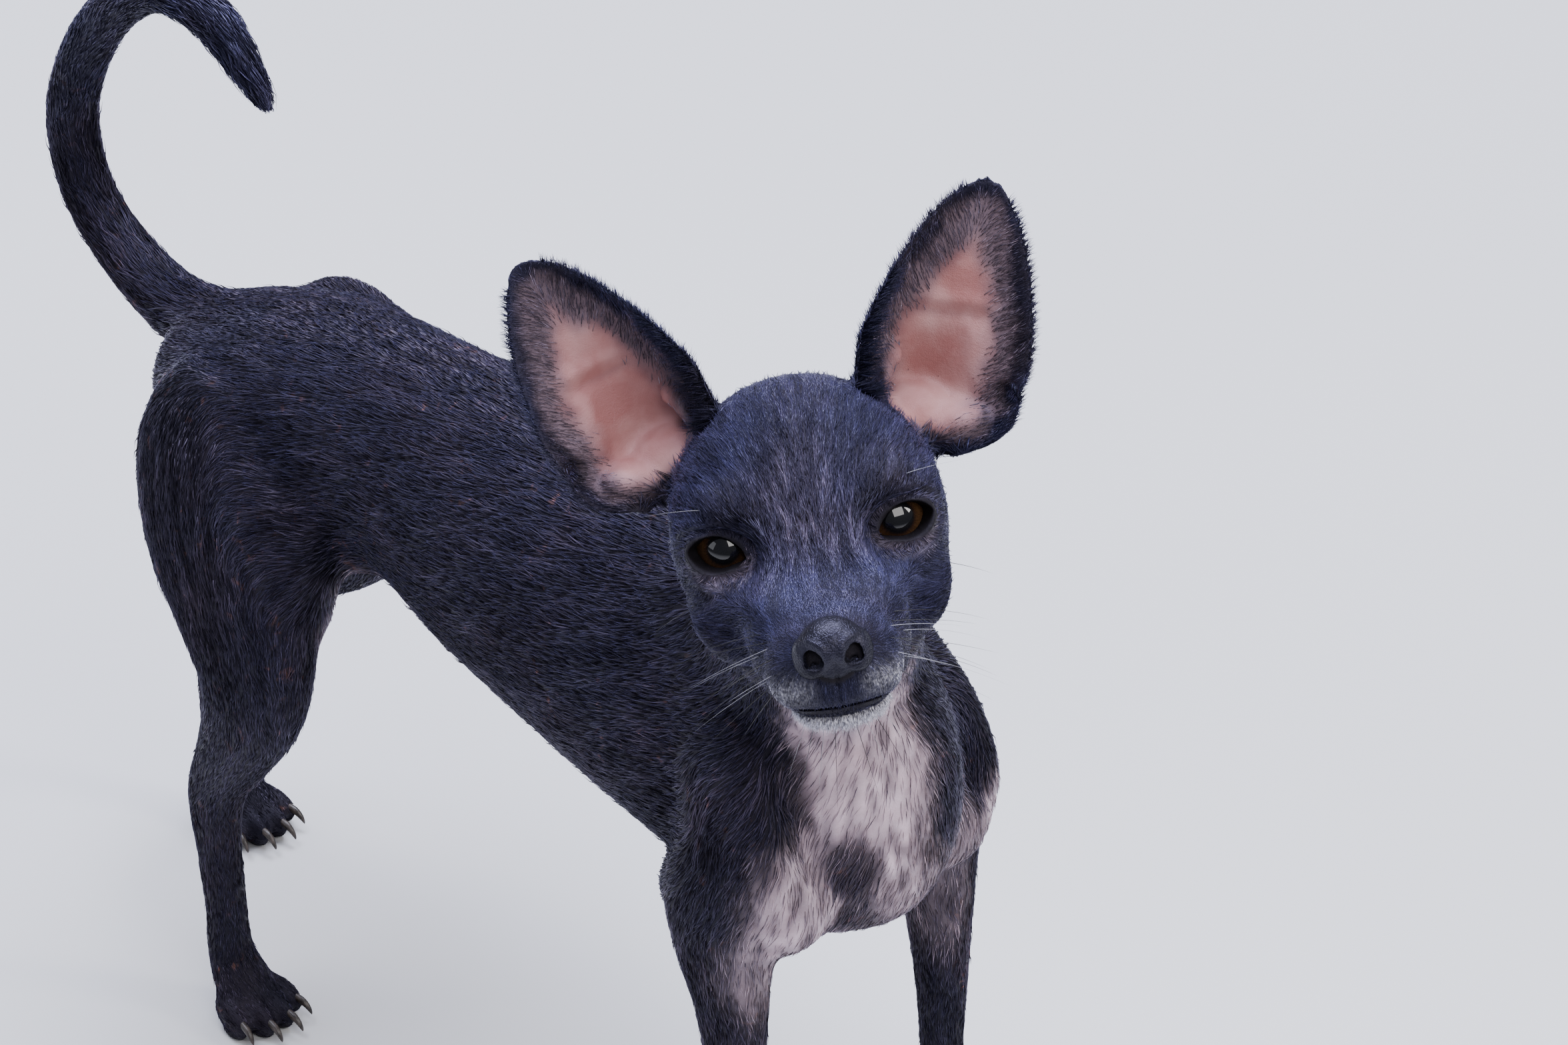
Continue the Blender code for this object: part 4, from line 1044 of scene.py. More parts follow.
def pale_marks(points, normals, seen, wobble):
    """Where the coat is thin over pale skin on the throat, chest, forelegs, belly and groin."""
    _, forward, up = seen["head"]
    gap, _, _, _ = line_fit(THROAT, points)
    bare = before(gap + wobble, THROAT_HALF * 0.55, THROAT_HALF * 1.20) * 0.97
    bare = bare * (1 - step_between(up, -0.0345, -0.0300) * step_between(forward, 0.0, 0.02))
    rough = points + normals * wobble[:, None]
    for centre, radii, strength in PALE_PATCHES:
        patch = near_patch(rough + wobble[:, None], centre, radii, 0.40) * strength
        bare = bare + patch * (1 - bare)
    bare = bare * (1 - 0.75 * near_patch(rough, *DARK_WEDGE, 0.45))
    bare = bare * (0.84 + 0.22 * wander(points * (1.0, 1.0, 0.35), 0.004))
    gap, _, _, _ = line_fit(GROIN, points)
    below = step_between(-normals[:, 2], -0.15, 0.35)
    groin = before(gap + wobble, GROIN_HALF * 0.55, GROIN_HALF) * below * 0.62
    return np.maximum(bare, groin)


def marks(points, normals, seen):
    """The dog's markings: thin coat over pale skin, bare ear, grey hair and black rims, with painted shade in
    the ears' pockets and round the nose.
    """
    left, forward, up = seen["head"]
    wobble = wander(points, 0.018) * 0.0016 + wander(points, 0.005) * 0.0011
    bare = pale_marks(points, normals, seen, wobble)
    dark = np.zeros(len(points))
    flush = np.zeros(len(points))
    for side in SIDES:
        thigh = np.linalg.norm((points - (side * 0.0150, 0.0750, 0.1300)) / (0.016, 0.034, 0.030), axis=1)
        inside = step_between(-normals[:, 0] * side, 0.0, 0.5) * before(thigh, 0.6, 1.1)
        bare = np.maximum(bare, inside * 0.55)
        across, out, rise = eye_spot(points, side)
        reach = np.hypot((across + 0.0010) / 0.0092, np.where(rise > 0, rise / 0.0058, rise / 0.0078))
        ring = before(reach, 0.70, 1.15) * (out > 0)
        bare = np.maximum(bare, ring * np.where(rise > 0, 0.06, 0.20))
        brow = hump(across, -0.0065, 0.0050) * hump(rise, 0.0078, 0.0034) * (out > -0.004)
        dark = np.maximum(dark, brow * 0.50)
        reach = np.hypot(across / (EYE_OPENING[0] + 0.0013), rise / (EYE_OPENING[1] + 0.0012))
        dark = np.maximum(dark, before(reach, 0.98, 1.14) * (out > 0.002))
        _, inside, _, along, x = ear_masks(points, side)
        # Painted shade: a dark ring marks the slit of the pocket at the ear's outer edge.
        pocket = np.hypot(along - POCKET[0], (x - POCKET[1]) * 0.017)
        dark = np.maximum(dark, inside * hump(pocket, POCKET_RADIUS, 0.0006) * 0.85)
        deep = np.hypot((along - 0.0080) / 0.0100, (x + 0.35) / 0.55)
        flush = np.maximum(flush, inside * before(deep, 0.2, 1.4) * 0.34)
    brow = ((left / 0.0080) ** 2 + ((forward - 0.006) / 0.012) ** 2 + ((up - 0.008) / 0.010) ** 2)
    bare = np.maximum(bare, np.exp(-brow) * 0.11)
    bare = np.clip(bare, 0, 1) * (1 - seen["on ear"]) + flush

    edge = seen["edge"] + wobble * 0.6
    high = step_between(seen["along ear"], 0.0260, 0.0400)
    band = step_between(edge, 0.0022, 0.0052) * 0.42
    bald = step_between(edge, 0.0060 + 0.0030 * high, 0.0125 + 0.0050 * high)
    ear = seen["in ear"] * (band + 0.58 * bald)
    lip_side = hump(up, -0.0242, 0.0026) * step_between(forward, 0.026, 0.034)
    lip_side = lip_side * step_between(np.abs(left), 0.003, 0.009)
    chin = hump(up, -0.0326, 0.0013) * step_between(forward, 0.022, 0.032)
    grey = seen["share"]["head"] * np.maximum(lip_side * 0.30, chin * 0.9)
    gap, _, _, _ = line_fit(MOUTH_POINTS, points)
    dark = np.maximum(dark, before(gap, 0.0010, 0.0020))
    # Dark round the nose leather: partly real dark skin, partly painted shadow under the nose.
    behind_nose = np.linalg.norm(points - NOSE_MIDDLE, axis=1)
    dark = np.maximum(dark, before(behind_nose, 0.0056, 0.0064))
    sole = step_between(-points[:, 2], -0.0022, -0.0008)
    dark = np.maximum(dark, sole)
    return np.stack((bare, ear, grey, dark), axis=1)


MOUTH_POINTS = [head_point(*spot) for spot in mouth_line(3)]


# Finer forms of the skin, moved point by point as a modeller would

# Folds of the lids: reach in openings from the eye's middle, width there, and rise
LID_RIM = (1.12, 0.14, 0.00026)
UPPER_LID_FOLDS = ((1.55, 0.13, -0.00060), (1.90, 0.24, 0.00038))
LOWER_LID_FOLDS = ((1.70, 0.15, -0.00024), (2.05, 0.22, 0.00018), (2.50, 0.20, -0.00022))
# Rolls of the lips: level above the line of the mouth, width there, and rise
LIP_ROLLS = ((0.0014, 0.0012, 0.00030), (-0.0016, 0.0012, 0.00022))


def face_relief(points):
    """How far each point moves along its normal for the lids, lips and ears."""
    move = np.zeros(len(points))
    for side in SIDES:
        across, out, rise = eye_spot(points, side)
        front = (out > 0.002) & (np.hypot(across, rise) < 0.018)
        reach = np.hypot((across + 0.0006) / 0.0058, rise / 0.0034)
        upper = step_between(rise, -0.0006, 0.0014)
        lids = hump(reach, *LID_RIM[:2]) * LID_RIM[2]
        for share, folds in ((upper, UPPER_LID_FOLDS), (1 - upper, LOWER_LID_FOLDS)):
            for fold_reach, wide, high in folds:
                lids += share * hump(reach, fold_reach, wide) * high
        corner = hump(across, -0.0066, 0.0016) * hump(rise, -0.0010, 0.0010) * -0.00070
        move += np.where(front, lids + corner, 0.0)
    left, forward, up = head_place(points)
    nose_end = step_between(forward, 0.036, 0.041)
    groove = hump(left, 0.0, 0.00050) * nose_end * step_between(-up, 0.0190, 0.0210)
    move -= groove * before(-up, 0.0272, 0.0284) * 0.00060
    _, line_forward, line_up = zip(*MOUTH_LINE[::-1])
    lip_line = np.interp(forward, line_forward, line_up)
    mouth = step_between(forward, 0.012, 0.018)
    for level, wide, high in LIP_ROLLS:
        move += hump(up - lip_line, level, wide) * mouth * high
    cheek = hump(forward + up * 0.5, 0.0060, 0.0022) * step_between(-up, 0.010, 0.016) * 0.00040
    move -= cheek * step_between(np.abs(left), 0.008, 0.012)
    for side in SIDES:
        _, inside, _, along, across = ear_masks(points, side)
        arc = 0.0215 + 0.0040 * across - 0.010 * np.maximum(0.0, across - 0.35) ** 2
        crease = hump(along, arc, 0.0017)
        crease = crease * step_between(across, -0.62, -0.35) * before(across, 0.30, 0.50)
        ridge = hump(along, arc + 0.0030, 0.0018)
        ridge = ridge * step_between(across, -0.62, -0.30) * before(across, 0.35, 0.60)
        bend = hump(across, 0.40 - (along - 0.014) * 22.0, 0.11)
        bend = bend * step_between(along, 0.002, 0.006) * before(along, 0.018, 0.023)
        pocket = hump(along, POCKET[0], 0.0022) * hump(across, POCKET[1], 0.10)
        veins = hump(across, -0.15, 0.10) * step_between(along, 0.026, 0.032)
        veins = veins * before(along, 0.040, 0.046)
        shape = ridge * 0.00050 - crease * 0.00030 + bend * 0.00050 - pocket * 0.00130 + veins * 0.00015
        move += inside * shape
    return move


def coat_depth(seen):
    """How far the skin lies inside the coat's surface."""
    share = seen["share"]
    forward = seen["head"][1]
    depth = 0.0012 * (share["trunk"] + share["neck"]) + 0.0010 * share["tail"]
    depth += share["head"] * (0.0007 - 0.0003 * step_between(forward, 0.016, 0.030))
    lower_leg = np.maximum(0.0, seen["place"][:, 1] - 0.3)
    depth += seen["legs"] * np.clip(0.0011 - 0.0007 * lower_leg, 0.0005, 0.0011)
    return depth


def tidy_rims(skin):
    """Round the cut edges of the lids and lips."""
    points = points_of(skin)
    soft = np.zeros(len(points))
    for side in SIDES:
        across, out, rise = eye_spot(points, side)
        reach = np.hypot((across + 0.0004) / EYE_OPENING[0], rise / EYE_OPENING[1])
        near = np.abs(np.linalg.norm(points - eye_place(side), axis=1) - EYE_RADIUS) < 0.0030
        soft = np.maximum(soft, near * hump(reach, 1.05, 0.30) * (out > 0.003))
    gap, _, _, _ = line_fit(MOUTH_POINTS, points)
    soft = np.maximum(soft, before(gap, 0.0012, 0.0024))
    group = weigh(skin, "rims", soft)
    soften(skin, 3, vertex_group=group)


def keep_largest(piece):
    """Delete every loose part but the largest."""
    count = len(piece.data.vertices)
    ends = np.empty(len(piece.data.edges) * 2, np.int32)
    piece.data.edges.foreach_get("vertices", ends)
    ends = ends.reshape(-1, 2)
    label = np.arange(count)
    while True:
        low = np.minimum(label[ends[:, 0]], label[ends[:, 1]])
        previous = label.copy()
        np.minimum.at(label, ends[:, 0], low)
        np.minimum.at(label, ends[:, 1], low)
        label = label[label]
        if np.array_equal(previous, label):
            break
    names, sizes = np.unique(label, return_counts=True)
    stray = label != names[np.argmax(sizes)]
    if not stray.any():
        return
    pick_points(piece, stray)
    bpy.ops.mesh.delete(type="VERT")
    bpy.ops.object.mode_set(mode="OBJECT")


def shape_skin():
    """The finished skin: formed, detailed, drawn in by the coat's depth, opened and thinned."""
    skin = make_skin_form()
    on_ears = sum(ear_masks(points_of(skin), side)[0] for side in SIDES)
    group = weigh(skin, "ears", on_ears)
    soften(skin, 6, vertex_group=group)
    sockets = np.zeros(len(on_ears))
    for side in SIDES:
        across, out, rise = eye_spot(points_of(skin), side)
        sockets = np.maximum(sockets, hump(np.hypot(across, rise), 0.0110, 0.0042) * (out > -0.004))
    group = weigh(skin, "sockets", sockets)
    soften(skin, 26, vertex_group=group)
    points, normals = points_of(skin), normals_of(skin)
    seen = describe(points, normals)
    mark = marks(points, normals, seen)
    depth = coat_depth(seen) * (1 - 0.6 * mark[:, 0]) * (1 - mark[:, 3])
    ear_depth = np.where(seen["in ear"] > 0.5, 0.0001, 0.0005)
    depth = depth * (1 - seen["on ear"]) + ear_depth * seen["on ear"]
    move_points(skin, points - normals * depth[:, None])
    refine_face(skin)
    points, normals = points_of(skin), normals_of(skin)
    move_points(skin, points + normals * face_relief(points)[:, None])
    for side in SIDES:
        cut(skin, [ball(eye_place(side), [EYE_RADIUS + 0.0001] * 3, None, 5)])
        cut(skin, [eye_opening(side)])
    cut(skin, [mouth_groove()])
    (across, _, level), _ = NOSTRIL[0]
    cut(skin, [head_ball((side * across, 0.0440, level), (0.0015, 0.0042, 0.0015), 3) for side in SIDES])
    tidy_rims(skin)
    points = points_of(skin)
    left, forward, up = head_place(points)
    fine = step_between(forward, -0.020, -0.004) * (np.abs(left) < 0.034) * (np.abs(up) < 0.040)
    fine = np.maximum(fine * 0.8, sum(ear_masks(points, side)[0] for side in SIDES) * 0.5)
    group = weigh(skin, "fine", np.clip(0.9 - fine, 0.1, 0.9))
    thin_to(skin, SKIN_TRIANGLES, vertex_group=group, vertex_group_factor=FACE_FINENESS)
    keep_largest(skin)
    skin.vertex_groups.clear()
    return skin


# Hair as thin closed wedges

class Hair:
    """Tufts gathered for one piece, until they are made one mesh."""

    def __init__(self):
        self.parts = []

    def lay(self, root, normal, lie, length, width, lift, unwrap, mark, tone, bent, curl, ground=None):
        laid = tuft_points(root, normal, lie, length, width, lift, bent, curl, ground)
        self.parts.append((laid, unwrap, mark, tone, bent))


TUFT_SUNK = 0.00022
PATCH = 0.0030
BENT_FACES = ((0, 2, 5, 3), (1, 4, 5, 2), (0, 3, 4, 1), (3, 5, 6), (4, 6, 5), (3, 6, 4), (0, 1, 2))
BENT_PATCH = ((-1, -1), (1, -1), (0, -0.9), (-0.8, 0), (0.8, 0), (0, 0.1), (0, 1))
STRAIGHT_FACES = ((0, 2, 3), (1, 3, 2), (0, 3, 1), (0, 1, 2))
STRAIGHT_PATCH = ((-1, -1), (1, -1), (0, -0.9), (0, 1))


def over_skin(points, normals, lift, ground):
    """Points let down on the skin, and raised from it by the lift."""
    if ground is None:
        return points + normals * lift[:, None]
    laid = np.empty_like(points)
    for i, point in enumerate(points.tolist()):
        spot, normal, _, _ = ground.find_nearest(point)
        raise_by = lift[i]
        laid[i] = (spot[0] + normal[0] * raise_by, spot[1] + normal[1] * raise_by,
                   spot[2] + normal[2] * raise_by)
    return laid


def tuft_points(root, normal, lie, length, width, lift, bent, curl, ground):
    """The corners of tufts: a sunk base, a middle where they bend, and a tip."""
    across = np.cross(lie, normal)
    half = (across.T * width / 2).T
    base = root - normal * TUFT_SUNK
    ridge = (normal.T * width * 0.55).T
    sweep = (across.T * curl * length).T
    tip = over_skin(root + (lie.T * length).T + sweep, normal, lift * 0.95, ground)
    if not bent:
        return np.stack((base - half, base + half, root + ridge, tip), axis=1)
    middle = over_skin(root + (lie.T * length * 0.48).T + sweep * 0.2, normal, lift * 0.80, ground)
    return np.stack((base - half, base + half, root + ridge, middle - half * 0.78, middle + half * 0.78,
                     middle + ridge * 0.70, tip), axis=1)


def hair_mesh(name, hair, finish):
    """One mesh of all the tufts of a piece, with their unwrap and markings."""
    points, corners, starts, uvs, mark_rows, strand_rows = [], [], [], [], [], []
    first, corner_count = 0, 0
    for laid, unwrap, mark, tone, bent in hair.parts:
        count = len(laid)
        faces = BENT_FACES if bent else STRAIGHT_FACES
        patch = np.array(BENT_PATCH if bent else STRAIGHT_PATCH, float) * PATCH / 2
        size = laid.shape[1]
        flat = np.array([i for face in faces for i in face])
        sizes = np.array([len(face) for face in faces])
        offset = first + np.arange(count)[:, None] * size
        points.append(laid.reshape(-1, 3))
        corners.append((offset + flat).ravel())
        begin = np.concatenate(((0,), np.cumsum(sizes)[:-1]))
        starts.append((corner_count + np.arange(count)[:, None] * len(flat) + begin).ravel())
        uvs.append((unwrap[:, None, :] + patch[flat][None, :, :]).reshape(-1, 2))
        mark_rows.append(np.repeat(mark, size, axis=0))
        tip = np.tile((patch[:, 1] / PATCH + 0.5), count)
        strand_rows.append(np.stack((np.repeat(tone, size), tip), axis=1))
        first += count * size
        corner_count += count * len(flat)
    points, corners, starts = np.concatenate(points), np.concatenate(corners), np.concatenate(starts)
    mesh = bpy.data.meshes.new(name)
    mesh.vertices.add(len(points))
    mesh.vertices.foreach_set("co", points.astype(np.float32).ravel())
    mesh.loops.add(len(corners))
    mesh.loops.foreach_set("vertex_index", corners.astype(np.int32))
    mesh.polygons.add(len(starts))
    mesh.polygons.foreach_set("loop_start", starts.astype(np.int32))
    mesh.update(calc_edges=True)
    mesh.polygons.foreach_set("use_smooth", np.ones(len(starts), bool))
    layer = mesh.uv_layers.new(name="OFBake")
    layer.data.foreach_set("uv", np.concatenate(uvs).astype(np.float32).ravel())
    write_marks(mesh, np.concatenate(mark_rows), np.concatenate(strand_rows))
    mesh.materials.append(finish)
    return linked(name, mesh)


def write_marks(mesh, mark, strand=None):
    """Keep the markings on the mesh's points, for the materials to read."""
    attribute = mesh.attributes.new("marks", "FLOAT_COLOR", "POINT")
    attribute.data.foreach_set("color", mark.astype(np.float32).ravel())
    if strand is not None:
        rows = np.zeros((len(strand), 4), np.float32)
        rows[:, :2] = strand
        rows[:, 3] = 1.0
        attribute = mesh.attributes.new("strand", "FLOAT_COLOR", "POINT")
        attribute.data.foreach_set("color", rows.ravel())


def triangles_of(piece):
    piece.data.calc_loop_triangles()
    flat = np.empty(len(piece.data.loop_triangles) * 3, np.int32)
    piece.data.loop_triangles.foreach_get("vertices", flat)
    return flat.reshape(-1, 3)


def in_order(points):
    """An order that runs from each point to its neighbours, by interleaved place bits."""
    cells = ((points - points.min(axis=0)) / 0.0008).astype(np.int64)
    code = np.zeros(len(points), np.int64)
    for bit in range(10):
        for axis in range(3):
            code |= ((cells[:, axis] >> bit) & 1) << (3 * bit + axis)
    return np.argsort(code, kind="stable")


def scatter(corners, corner_normals, density, count, draw):
    """Roots spread evenly over triangles by their area and density."""
    a, b, c = corners[:, 0], corners[:, 1], corners[:, 2]
    area = np.linalg.norm(np.cross(b - a, c - a), axis=1) / 2
    order = in_order((a + b + c) / 3)
    total = np.cumsum((area * density)[order])
    picks = (np.arange(count) + draw.random(count)) / count * total[-1]
    face = order[np.minimum(np.searchsorted(total, picks), len(order) - 1)]
    u, v = draw.random((2, count))
    over = u + v > 1
    u, v = np.where(over, 1 - u, u), np.where(over, 1 - v, v)
    weights = np.stack((1 - u - v, u, v), axis=1)[:, :, None]
    return (corners[face] * weights).sum(axis=1), unit((corner_normals[face] * weights).sum(axis=1))


def turned(lie, normal, angle):
    """Ways turned in the skin's own plane."""
    across = np.cross(normal, lie)
    return lie * np.cos(angle)[:, None] + across * np.sin(angle)[:, None]


COAT_COUNT = {"head": 62000, "ears": 18000, "paws": 8000, "rest": 98000}
# Width and half length of the coat's streaks, and how much higher a stray tuft lifts
FINE_HAIR = (0.0011, 0.0034, 3.2)
COARSE_HAIR = (0.0019, 0.0060, 2.0)
PAW_TOP = 0.0200                # up to where a leg's hair counts as a paw's
NOSE_REACH = 0.0052             # no tufts within this of the nose's middle
FACE_START = -0.006             # how far forward the face's own piece of coat starts
TRUNK_CUT = 0.040               # the coat on the trunk is in three pieces, cut here and at -y


def coat_sizes(seen, mark):
    """Length and width of the tufts, by place."""
    share = seen["share"]
    muzzle = step_between(seen["head"][1], 0.010, 0.030)
    length = share["head"] * (0.0038 - 0.0022 * muzzle)
    length = length + share["neck"] * 0.0052 + share["trunk"] * 0.0056
    tail_end = step_between(seen["place"][:, 1], 0.55, 1.0)
    length += share["tail"] * (0.0052 + 0.0035 * tail_end)
    leg = np.interp(seen["place"][:, 1], (0.0, 0.4, 0.8, 0.95), (0.0052, 0.0040, 0.0028, 0.0017))
    length += seen["legs"] * leg
    for side in SIDES:
        across, out, rise = eye_spot(seen["points"], side)
        near = np.exp(-((across / 0.010) ** 2 + (rise / 0.008) ** 2)) * (out > 0)
        length = length * (1 - 0.45 * near)
    length = length * (1 - seen["on ear"]) + 0.0023 * seen["on ear"]
    length = length * (1 - 0.40 * mark[:, 0])
    width = np.clip(0.00019 + length * 0.032, 0.00022, 0.00037) * (1 - 0.45 * mark[:, 0])
    return length, width


def coat_fullness(middle, seen, mark):
    """How thickly tufts stand at places on the skin, from 0 to 1."""
    full = 1 - 0.84 * mark[:, 0] * (1 - seen["in ear"]) - step_between(mark[:, 3], 0.6, 1.0)
    full = full * before(mark[:, 1], 0.2, 0.92)
    eyes = [np.linalg.norm(middle - eye_place(side), axis=1) for side in SIDES]
    full = full * (np.minimum(*eyes) > EYE_RADIUS + 0.00025)
    under_nose = np.linalg.norm(middle - NOSE_MIDDLE, axis=1)
    return np.clip(full, 0, 1) * (under_nose > NOSE_REACH)


def coat_zones(middle, seen):
    """The parts of the skin that have a count of tufts of their own."""
    on_head = seen["region"] == REGIONS.index("head")
    on_ear = seen["region"] >= REGIONS.index("ear_right")
    on_paw = (seen["legs"] > 0.5) & (middle[:, 2] < PAW_TOP) & ~on_head & ~on_ear
    return {"head": on_head, "ears": on_ear, "paws": on_paw, "rest": ~(on_head | on_ear | on_paw)}


def lay_coat(skin):
    """Tufts over the whole skin, in pieces by region."""
    draw = np.random.default_rng(417)
    points, normals = points_of(skin), normals_of(skin)
    faces = triangles_of(skin)
    corners, corner_normals = points[faces], normals[faces]
    middle = corners.mean(axis=1)
    middle_normal = unit(corner_normals.mean(axis=1))
    ground = BVHTree.FromPolygons(points.tolist(), faces.tolist(), all_triangles=True)
    seen = describe(middle, middle_normal)
    full = coat_fullness(middle, seen, marks(middle, middle_normal, seen))
    groups = {}
    for zone, mask in coat_zones(middle, seen).items():
        dense = full * mask
        if zone == "head":
            dense = dense * (1 + 0.6 * step_between(seen["head"][1], 0.0, 0.02))
        roots = scatter(corners, corner_normals, dense, COAT_COUNT[zone], draw)
        lay_zone(groups, zone, *roots, draw, ground)
    return groups, ground


def lay_zone(groups, zone, root, normal, draw, ground):
    """The tufts of one zone, with their sizes, lie, lift and tone, in the pieces they belong to."""
    count = len(root)
    here = describe(root, normal)
    here["points"] = root
    patches = marks(root, normal, here)
    share = here["share"]
    _, forward, up = here["head"]
    length, width = coat_sizes(here, patches)
    length = length * draw.uniform(0.70, 1.25, count)
    width = width * draw.uniform(0.75, 1.2, count)
    swirl = 0.16 * np.sin(root @ (520.0, 330.0, 410.0)) + 0.10 * np.sin(root @ (-900.0, 1100.0, 760.0))
    lie = turned(here["lie"], normal, swirl * 0.6 + draw.normal(0.0, 0.10, count))
    streak_width, streak_reach, stray = COARSE_HAIR if zone == "rest" else FINE_HAIR
    band = streaks(root, lie, streak_width, streak_reach)
    raised = np.where(draw.random(count) < 0.10, stray, 1.0) + 0.4 * np.maximum(band, 0.0)
    raised = raised + share["tail"] * step_between(here["place"][:, 1], 0.5, 1.0) * 0.8
    crown = share["head"] * step_between(up, 0.008, 0.020) * (zone == "head")
    raised = raised * (1 + 0.45 * crown)
    lift = length * draw.uniform(0.035, 0.080, count) * raised
    pale = draw.random(count) > 0.24 * (1 - 0.75 * patches[:, 0])
    patches[:, 0] *= np.where(pale | (here["in ear"] > 0.5), 1.0, 0.25)
    # Painted highlight: a higher tone lightens the tufts on the top of the muzzle and along the streaks.
    painted_bridge_highlight = share["head"] * step_between(forward, 0.008, 0.022) * step_between(up, -0.018, -0.008)
    tone = np.clip(draw.normal(0.43, 0.20, count) + 0.34 * band + 0.28 * painted_bridge_highlight, 0, 1)
    names = [REGIONS[i] for i in here["region"]]
    key = np.array([zone_piece(zone, *spot) for spot in zip(names, root[:, 1], forward)])
    curl = draw.normal(0.0, 0.06, count)
    for piece in np.unique(key):
        mine = key == piece
        hair = groups.setdefault(str(piece), Hair())
        hair.lay(root[mine], normal[mine], lie[mine], length[mine], width[mine], lift[mine],
                 here["unwrap"][mine], patches[mine], tone[mine], zone == "rest", curl[mine], ground)


def zone_piece(zone, region, y, ahead):
    """The piece that a tuft belongs to."""
    if zone == "head":
        return "coat_face" if ahead > FACE_START else "coat_head"
    if zone == "ears":
        return "coat_" + (region if region.startswith("ear") else "head")
    if zone == "paws":
        return "coat_" + (region if "leg" in region else "trunk_front")
    if region == "trunk":
        part = "front" if y < -TRUNK_CUT else "middle" if y < TRUNK_CUT else "back"
        return "coat_trunk_" + part
    if region.startswith("ear"):
        return "coat_head"
    return "coat_" + region


def on_skin(points, ground):
    """The nearest places on the skin, and its normals there."""
    found = [ground.find_nearest(point)[:2] for point in points.tolist()]
    return np.array([spot for spot, _ in found]), np.array([normal for _, normal in found])


def ear_edge_hair(groups, ground, draw):
    """Spiky hair that stands out from the ears' rims, and the fringe over the inner edge."""
    for side, name in ((-1.0, "coat_ear_right"), (1.0, "coat_ear_left")):
        up_way, out_way = ear_ways(side)
        for edge, count, low, high in ((-1.0, 1000, 0.0, 0.0485), (1.0, 900, 0.002, 0.0485)):
            along = draw.uniform(low, high, count)
            inner, outer, _, rim = ear_edges(along)
            across = inner if edge < 0 else outer
            root = ear_point(side, along, across, draw.normal(0.0, 0.0008, count), rim)
            root, _ = on_skin(root, ground)
            lie = unit(np.outer(np.full(count, edge), out_way) * draw.uniform(0.20, 0.9, (count, 1))
                       + up_way * draw.uniform(0.7, 1.2, (count, 1)) + draw.normal(0, 0.16, (count, 3)))
            root = root - lie * 0.0004
            add_special(groups, name, root, lie, draw.uniform(0.0014, 0.0030, count), 0.00016, draw, 0.0)
        count = 1300
        along = draw.uniform(-0.004, 0.027, count)
        inner, _, _, rim = ear_edges(along)
        root = ear_point(side, along, inner + draw.uniform(0.0002, 0.0022, count), -0.0012, rim)
        root, _ = on_skin(root, ground)
        lie = unit(out_way * draw.uniform(0.6, 1.0, (count, 1)) + up_way * draw.uniform(0.25, 0.9, (count, 1))
                   + HEAD_FORWARD * draw.uniform(-0.15, 0.12, (count, 1)) + draw.normal(0, 0.10, (count, 3)))
        long = draw.uniform(0.0028, 0.0066, count) * np.interp(along, (-0.004, 0.008, 0.027), (1.1, 1.2, 0.6))
        add_special(groups, name, root - lie * 0.0005, lie, long, 0.00022, draw, 0.0, 0.5)


def add_special(groups, name, root, lie, length, width, draw, grey, dark=0.0):
    """Tufts that leave the skin freely."""
    count = len(root)
    seed = unit(draw.normal(0, 1, (count, 3)))
    normal = unit(seed - lie * (seed * lie).sum(axis=1, keepdims=True))
    here = describe(root, normal)
    mark = np.zeros((count, 4))
    mark[:, 2] = grey
    mark[:, 3] = dark
    groups.setdefault(name, Hair()).lay(
        root, normal, lie, length, np.full(count, width), length * 0.10, here["unwrap"], mark,
        np.clip(draw.normal(0.5, 0.2, count), 0, 1), True, draw.normal(0.0, 0.12, count))


# Hair of the lips: count, lowest and highest level from the mouth, droop, grey and length
LIP_HAIR = ((2200, -0.0046, -0.0020, 0.7, 1.0, 0.0026), (700, 0.0014, 0.0050, 0.8, 0.50, 0.0016))


def lip_fringe(groups, ground, draw):
    """Short white hair along the lower lip, and grey hair on the upper."""
    line = mouth_line(6, 4)
    for count, low, high, drop, grey, size in LIP_HAIR:
        t = draw.uniform(0, len(line) - 1.001, count)
        i = t.astype(int)
        spot = line[i] + (line[i + 1] - line[i]) * (t - i)[:, None]
        level = draw.uniform(low, high, count)
        out = unit(np.stack((spot[:, 0], spot[:, 1] - MOUTH_CENTRE, np.zeros(count)), axis=1))
        inset = 0.0010 + np.abs(level) * 0.20
        root = head_point(spot[:, 0] - out[:, 0] * inset, spot[:, 1] - out[:, 1] * inset, spot[:, 2] + level)
        way = np.stack((spot[:, 0] * 20 + draw.normal(0, 0.15, count), 0.55 + draw.normal(0, 0.15, count),
                        np.full(count, -drop)), axis=1)
        lie = unit(way @ np.stack((HEAD_LEFT, HEAD_FORWARD, HEAD_UP)))
        root = on_skin(root, ground)[0] - lie * 0.0003
        add_special(groups, "coat_face", root, lie, size * draw.uniform(0.6, 1.3, count), 0.00018, draw, grey)


